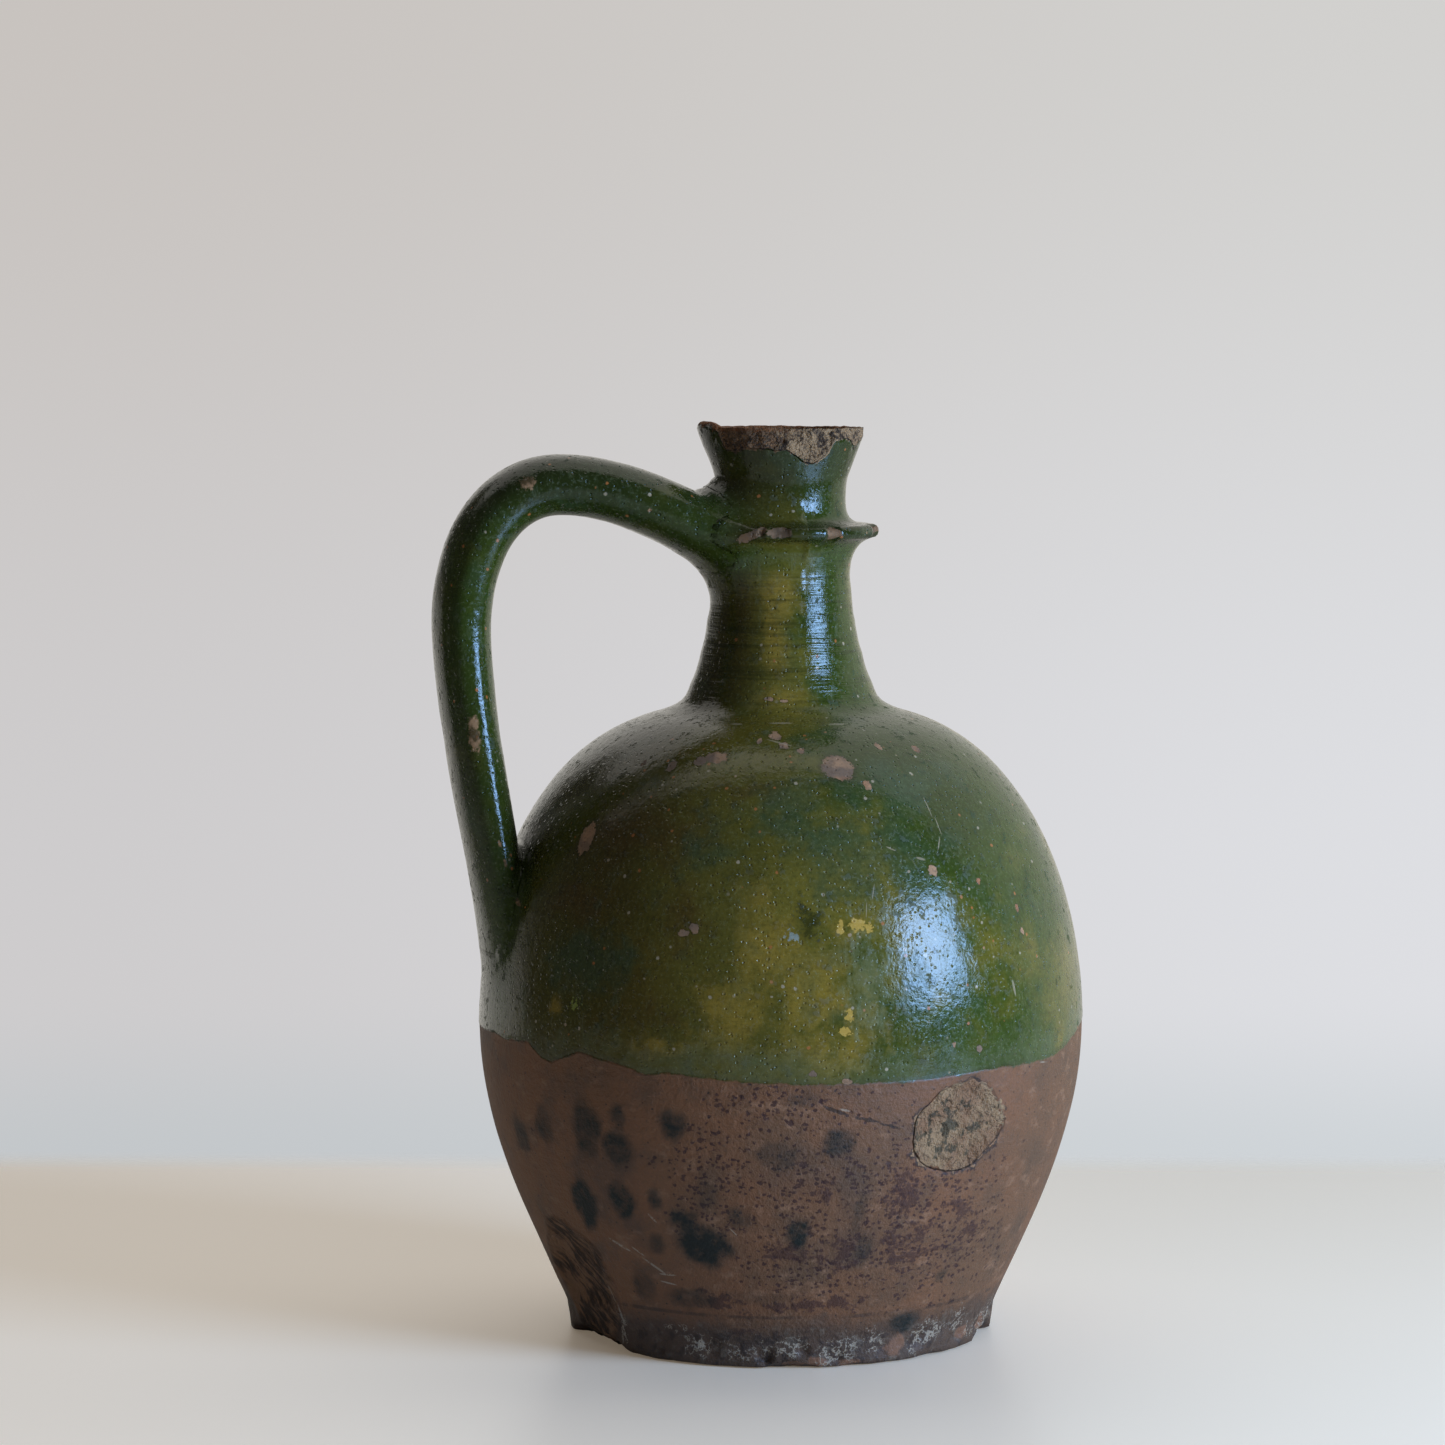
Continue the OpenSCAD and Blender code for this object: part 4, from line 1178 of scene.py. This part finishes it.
# bare clay: red and grey places, dark speckle, maroon, soot, the tool's line and the crust on the foot
def clayColour():
    clay = over(step(large, 0.35, 0.65), "clay", "clayRed")
    clay = coat(clay, "clayGrey", step(middle, 0.42, 0.72), 0.6)
    clay = coat(clay, "clayGrey", step(fine, 0.5, 0.7), 0.4)
    clay = coat(clay, "clayPale", step(clouds(place, 8, 15, 3, 0.65, (1, 1, 0.6)), 0.55, 0.72), 0.5)
    warm = times(step(facing, 0.55, -0.3), step(middle, 0.64, 0.4))
    clay = coat(clay, "clayWarm", warm, 0.45)
    grey = step(plus(mark("greyed"), swing(middle, 1.6)), -0.2, 0.9)
    clay = coat(clay, "footDark", grey, 0.34)
    # fine and coarse speckle, maroon and pits
    grit, own = specks(place, 2.0, 2, (1.0, 1.0, 0.8))
    thick = plus(mark("speckled"), swing(middle, 2.6), swing(small, 1.6))
    dense = step(plus(times(thick, 0.7), own), 0.5, 0.6)
    jagged = swing(fine, 1.4)
    clay = coat(clay, "speck", step(plus(grit, jagged), 0.42, 0.26), dense, 0.8)
    grit, own = specks(place, 4.4, 5, (1.0, 1.0, 0.7))
    dense = step(plus(times(thick, 0.7), own), 0.62, 0.72)
    clay = coat(clay, "speck", step(plus(grit, jagged, swing(small, 0.6)), 0.3, 0.2), dense, 0.75)
    maroon = plus(mark("maroon"), swing(small, 6.0), swing(fine, 3.0))
    clay = coat(clay, "maroon", step(maroon, 0.15, 0.75), 0.7)
    hole, own = specks(place, 3.2, 3)
    clay = coat(clay, "pit", step(hole, 0.14, 0.08), step(own, 0.45, 0.5), 0.8)
    # the dark, worn foot and the potter's line above it
    low = step(plus(z, swing(middle, 20), swing(small, 8)), 19, 10)
    clay = coat(clay, "footDark", low, 0.75)
    clay = coat(clay, "pit", low, step(small, 0.5, 0.66), 0.6)
    # pale worn places on the foot, faded out on the side turned from the window: wear, and painted light
    worn = step(clouds(place, 5, 18, 4, 0.7), 0.54, 0.66)
    clay = coat(clay, "footWornAndLit", low, worn, step(facing, -0.6, 0.6), 0.6)
    fromLine = count("ABSOLUTE", plus(z, -17.6, swing(rings, 2)))
    clay = coat(clay, "pit", step(fromLine, 0.9, 0.3), step(middle, 0.42, 0.54), 0.5)
    footChip = step(plus(ovalsIn(warped, footChipsPaint), swing(small, 2)), 0.0, 0.4)
    clay = coat(clay, "footClay", footChip, 0.75)
    # soot, and the pale crust that clings in ridges and flecks
    soot = times(mark("soot"), plus(0.86, swing(small, 1.4), swing(fine, 0.5)))
    clay = over(put("Clamp", {"Value": soot, "Max": 0.96}).outputs[0], clay, "soot")
    ridge = count("ABSOLUTE", plus(small, -0.5))
    crusted = plus(mark("crusted"), swing(middle, 5), swing(fine, 1.5), -0.15)
    crust = times(step(plus(ridge, times(crusted, -0.03)), 0.014, -0.002), step(z, 21, 14))
    flecks = times(step(crusted, 0.1, 0.6), step(fine, 0.6, 0.68))
    clay = coat(clay, "crust", largest(crust, flecks), 0.65)
    return clay


# the clay with its scar, scratches, groove and spall
def brokenColour(clay):
    slant = put("Mapping", {"Vector": flatPlace, "Rotation": (0, 0, math.radians(34))},
                vector_type="POINT").outputs[0]
    ridges = clouds(slant, 2.0, 16, 4, 0.65, (5.0, 1.0, 1))
    scarClay = over(step(plus(times(middle, 0.6), times(ridges, 0.6)), 0.52, 0.68), "scarBrown", "scarDark")
    clay = over(times(scar, 0.9), clay, scarClay)
    scratch = step(ovalsIn(flatPlace, clayScratches), 0.0, 0.4)
    clay = coat(clay, "crust", scratch, step(fine, 0.36, 0.5), 0.6)
    clay = coat(clay, "spallEdge", step(ovalsIn(warped, groove), 0.0, 0.35), 0.75)
    spallClay = over(step(middle, 0.4, 0.62), "spallPale", "spallPink")
    dark = plus(clouds(place, 4.2, 9, 4, 0.7), times(ovalsIn(warped, [(-71.5, 80.5, 30, 15)]), 0.08))
    spallClay = coat(spallClay, "spallDark", step(dark, 0.53, 0.62), 0.75)
    spallClay = coat(spallClay, "spallEdge", step(fine, 0.52, 0.66), 0.5)
    # a dark ragged ring just outside the spall: painted shade along its broken edge
    near = step(spallEdge, -1.5, -0.3)
    clay = coat(clay, "spallEdge", near, step(plus(middle, small), 0.92, 1.04), 0.75)
    clay = over(spall, clay, spallClay)
    return clay


# glaze over clay, with chips, the broken rim, the inside and scratches
def skinColour(clay, glaze):
    skin = over(glazed, clay, glaze)
    # chips, paler on the belly than on the collar, with a dark edge of glaze
    chipClay = over(step(clouds(place, 9, 10, 2), 0.4, 0.6), "chip", "chipDark")
    chipClay = coat(chipClay, "chipOrange", step(middle, 0.5, 0.6), step(facing, 0.7, 0.9), 0.6)
    chipClay = coat(chipClay, "chipCollar", step(z, 259, 262), 0.62)
    chipClay = coat(chipClay, "chipCollar", step(fine, 0.5, 0.64), 0.4)
    skin = coat(skin, "glazeLip", step(chipDepth, -0.25, -0.02), 0.5)
    skin = over(chip, skin, chipClay)
    # chips on the strap's near side, laid out as seen from the side
    sidePlace = put("CombineXYZ", {0: axes.outputs[0], 1: z}).outputs[0]
    strapChip = plus(flatOvals(sidePlace, strapChips), swing(fine, 1.6))
    strapChip = times(strapChip, step(axes.outputs[1], -2.0, -6.0), onStrap)
    strapChip = times(step(strapChip, 0.1, 0.5), 0.8)
    skin = over(strapChip, skin, over(step(small, 0.42, 0.58), "chip", "chipCollar"))
    # the broken rim, browner to the left and on its top
    coarse = plus(clouds(place, 3.4, 11, 4, 0.7), swing(fine, 0.5))
    rimClay = over(step(coarse, 0.46, 0.62), "rimClay", "rimDark")
    toLeft = step(plus(facing, swing(small, 0.9)), 0.78, 0.4)
    rimClay = over(times(toLeft, 0.75), rimClay, over(step(fine, 0.4, 0.6), "rimBrown", "rimDark"))
    onTop = step(plus(z, swing(fine, 5)), 299.4, 300.6)
    rimClay = coat(rimClay, "rimOrange", onTop, step(facing, 0.9, 0.3), 0.7)
    skin = over(rimBroken, skin, rimClay)
    skin = over(inside, skin, "insideGlaze")
    scratch = step(ovalsIn(flatPlace, scratches), 0.0, 0.4)
    skin = coat(skin, "dust", scratch, 0.5)
    return skin


# gloss of the glaze, scuffed and worn dull in places, and of the clay
def roughness():
    glazeLeft = times(glazed, less(chip), less(rimBroken))
    scuffed = largest(step(runs, 0.5, 0.72), step(fine, 0.53, 0.66))
    glazeRough = plus(glossy["glaze"], times(scuffed, glossy["scuff"] - glossy["glaze"]))
    dull = step(plus(small, times(fine, 0.5)), 0.86, 0.92)  # worn places, which break the window's reflection
    glazeRough = plus(glazeRough, times(dull, glossy["clay"] - glossy["glaze"]))
    bare = largest(spall, scar, chip, rimBroken)
    clayRough = plus(glossy["clay"], times(bare, glossy["broken"] - glossy["clay"]))
    return put("Mix", {0: glazeLeft, 2: clayRough, 3: glazeRough}, data_type="FLOAT").outputs[0]


# heights in mm of the glaze, the clay and the broken places, from few nodes, because a bump reads them
# three times
def skinHeight():
    pits, own = specks(place, 1.5, 3)
    pit = times(step(pits, 0.36, 0.12), step(own, 0.6, 0.68))
    glazeUp = plus(times(fine, 0.06), times(small, 0.22), times(rings, plus(onNeck, 0.06), 0.4),
                   times(pit, -0.22))
    clayUp = plus(times(fine, 0.42), times(small, 0.6), times(rings, 0.2))
    brokenUp = plus(times(fine, 1.2), times(small, 5.5))
    roughPlace = largest(step(mark("spallIn"), -0.3, 0.5), step(mark("scarIn"), -1.0, 3.0),
                         step(mark("rimOver"), -0.2, 0.4))
    onGlaze = times(step(mark("glazeOver"), -0.5, 0.4), less(roughPlace))
    up = put("Mix", {0: onGlaze, 2: clayUp, 3: plus(glazeUp, 0.15)}, data_type="FLOAT").outputs[0]
    up = put("Mix", {0: roughPlace, 2: up, 3: brokenUp}, data_type="FLOAT").outputs[0]
    return up


glaze = glazeColour()
skin = skinColour(brokenColour(clayColour()), glaze)
rough = roughness()
bump = put("Bump", {"Strength": 1.0, "Distance": mm, "Height": skinHeight()})
shader = put("BsdfPrincipled", {"Base Color": skin, "Roughness": rough, "Normal": bump.outputs[0]})
shader.inputs["IOR"].default_value = 1.52
put("OutputMaterial", {"Surface": shader.outputs[0]})
jug.data.materials.clear()
jug.data.materials.append(jugPaint)
print("paint made,", len(tree.nodes), "nodes")

# Light: one window to the right, a pale room behind and above, a pale wall and table

room = {
    "windowBearing": -45.0, "windowRise": 14.0, "windowAway": 1.2, "windowMiddle": 0.14,
    "windowSize": (0.5, 0.46), "windowPower": 13.0, "windowColour": (0.34, 0.60, 1.08),
    "softPower": 4.4, "softColour": (1.08, 0.94, 0.34),
    "roomDark": 0.05, "roomBehind": 0.6, "roomAbove": 0.7, "roomColour": (1.04, 1.0, 0.93),
}


# an area lamp the size of the window, turned to the jug
def makeLamp(name, power, colour):
    data = bpy.data.lights.new(name, "AREA")
    data.shape = "RECTANGLE"
    data.size, data.size_y = room["windowSize"]
    data.energy = power
    data.color = colour
    lamp = bpy.data.objects.new(name, data)
    turn, up = math.radians(room["windowBearing"]), math.radians(room["windowRise"])
    away = room["windowAway"]
    lamp.location = (away * math.cos(turn) * math.cos(up), away * math.sin(turn) * math.cos(up),
                     room["windowMiddle"] + away * math.sin(up))
    lamp.rotation_euler = (math.radians(90) - up, 0, turn + math.radians(90))
    bpy.context.scene.collection.objects.link(lamp)
    return lamp


makeLamp("window", room["windowPower"], room["windowColour"])
# the warm part of the same light, which the photo's reflection of the window doesn't show
makeLamp("softLight", room["softPower"], room["softColour"]).visible_glossy = False

backdrop = {
    "wallLeft": (200, 195, 191), "wallRight": (210, 209, 207), "wallMidLeft": (206, 204, 205),
    "wallMidRight": (222, 223, 227), "wallLowLeft": (195, 199, 202), "wallLowRight": (208, 213, 217),
    "table": (232, 229, 225), "tableGlowLeft": (113, 102, 90), "tableGlowRight": (84, 76, 60),
    "tableHalf": 1.2, "tableDown": 0.0003, "tableBehind": 0.27, "tableFade": 0.05, "tableInGlaze": 0.45,
}
paints.update({name: colour for name, colour in backdrop.items() if isinstance(colour, tuple)})


# level direction to the camera, or turned from it by some degrees
def toCamera(turn=0):
    return aimed(1, view["bearing"] + turn).tolist() + [0.0]


# the room as the jug reflects it: dark in front, pale behind and above; and a pale wall for the camera
def makeRoom():
    ray = put("TexCoord", {}).outputs["Generated"]
    ahead = dot(ray, toCamera())
    right = dot(ray, toCamera(90))
    up = put("SeparateXYZ", {0: ray}).outputs[2]
    reach = plus(times(ahead, -1.0), times(largest(up, 0.0), 0.34), times(largest(right, 0.0), 0.2))
    # a dark side to the left, between the level of the table and well above eye level
    leftLow = times(step(right, -0.34, -0.52), step(up, 0.64, 0.52), step(up, -0.22, 0.2))
    below = times(step(up, -0.05, -0.35), 0.6)
    behind = times(step(reach, 0.36, 0.46), less(leftLow), less(below))
    level = plus(room["roomDark"], times(behind, room["roomBehind"]),
                 times(behind, step(up, 0.5, 1.0), room["roomAbove"] - room["roomBehind"]))
    side = step(right, -0.17, 0.17)
    wall = over(side, "wallMidLeft", "wallMidRight")
    wall = over(step(up, -0.12, 0.08), wall, over(side, "wallLeft", "wallRight"))
    wall = over(step(up, -0.14, -0.18), wall, over(side, "wallLowLeft", "wallLowRight"))
    seen = put("Background", {"Color": wall, "Strength": 1.0}).outputs[0]
    lit = put("Background", {"Color": (*room["roomColour"], 1), "Strength": level}).outputs[0]
    rays = put("LightPath", {}).outputs["Is Camera Ray"]
    put("OutputWorld", {"Surface": put("MixShader", {0: rays, 1: lit, 2: seen}).outputs[0]})


world = bpy.data.worlds.new("room")
world.use_nodes = True
tree = world.node_tree
tree.nodes.clear()
bpy.context.scene.world = world
makeRoom()


# a pale table that fades into the wall behind
def makeTable():
    mesh = bpy.data.meshes.new("table")
    half, z = backdrop["tableHalf"], -backdrop["tableDown"]
    corners = [(-half, -half, z), (half, -half, z), (half, half, z), (-half, half, z)]
    mesh.from_pydata(corners, [], [(0, 1, 2, 3)])
    table = bpy.data.objects.new("table", mesh)
    bpy.context.scene.collection.objects.link(table)
    place = put("TexCoord", {}).outputs["Object"]
    ahead = dot(place, toCamera())
    away = lengthOf(place)
    fade = times(step(ahead, -backdrop["tableBehind"] - backdrop["tableFade"], -backdrop["tableBehind"]),
                 step(away, 1.1, 0.8))
    glow = over(step(dot(place, toCamera(90)), -0.25, 0.25), "tableGlowLeft", "tableGlowRight")
    rays = put("LightPath", {}).outputs
    glow = put("Emission", {"Color": glow, "Strength": rays["Is Camera Ray"]}).outputs[0]
    # the table is darker in the jug's reflections, as in the photo
    cloth = over(times(rays["Is Glossy Ray"], backdrop["tableInGlaze"]), "table", (0, 0, 0, 1))
    top = put("AddShader", {0: put("BsdfDiffuse", {"Color": cloth}).outputs[0], 1: glow}).outputs[0]
    sheen = put("BsdfAnisotropic", {"Color": (0.2, 0.2, 0.2, 1), "Roughness": 0.32}).outputs[0]
    top = put("AddShader", {0: top, 1: sheen}).outputs[0]
    clear = put("BsdfTransparent", {}).outputs[0]
    put("OutputMaterial", {"Surface": put("MixShader", {0: fade, 1: clear, 2: top}).outputs[0]})
    return table


tablePaint = bpy.data.materials.new("paleTable")
tablePaint.use_nodes = True
tree = tablePaint.node_tree
tree.nodes.clear()
table = makeTable()
table.data.materials.append(tablePaint)
bpy.context.scene.view_settings.view_transform = "Standard"
print("light, room and table made")
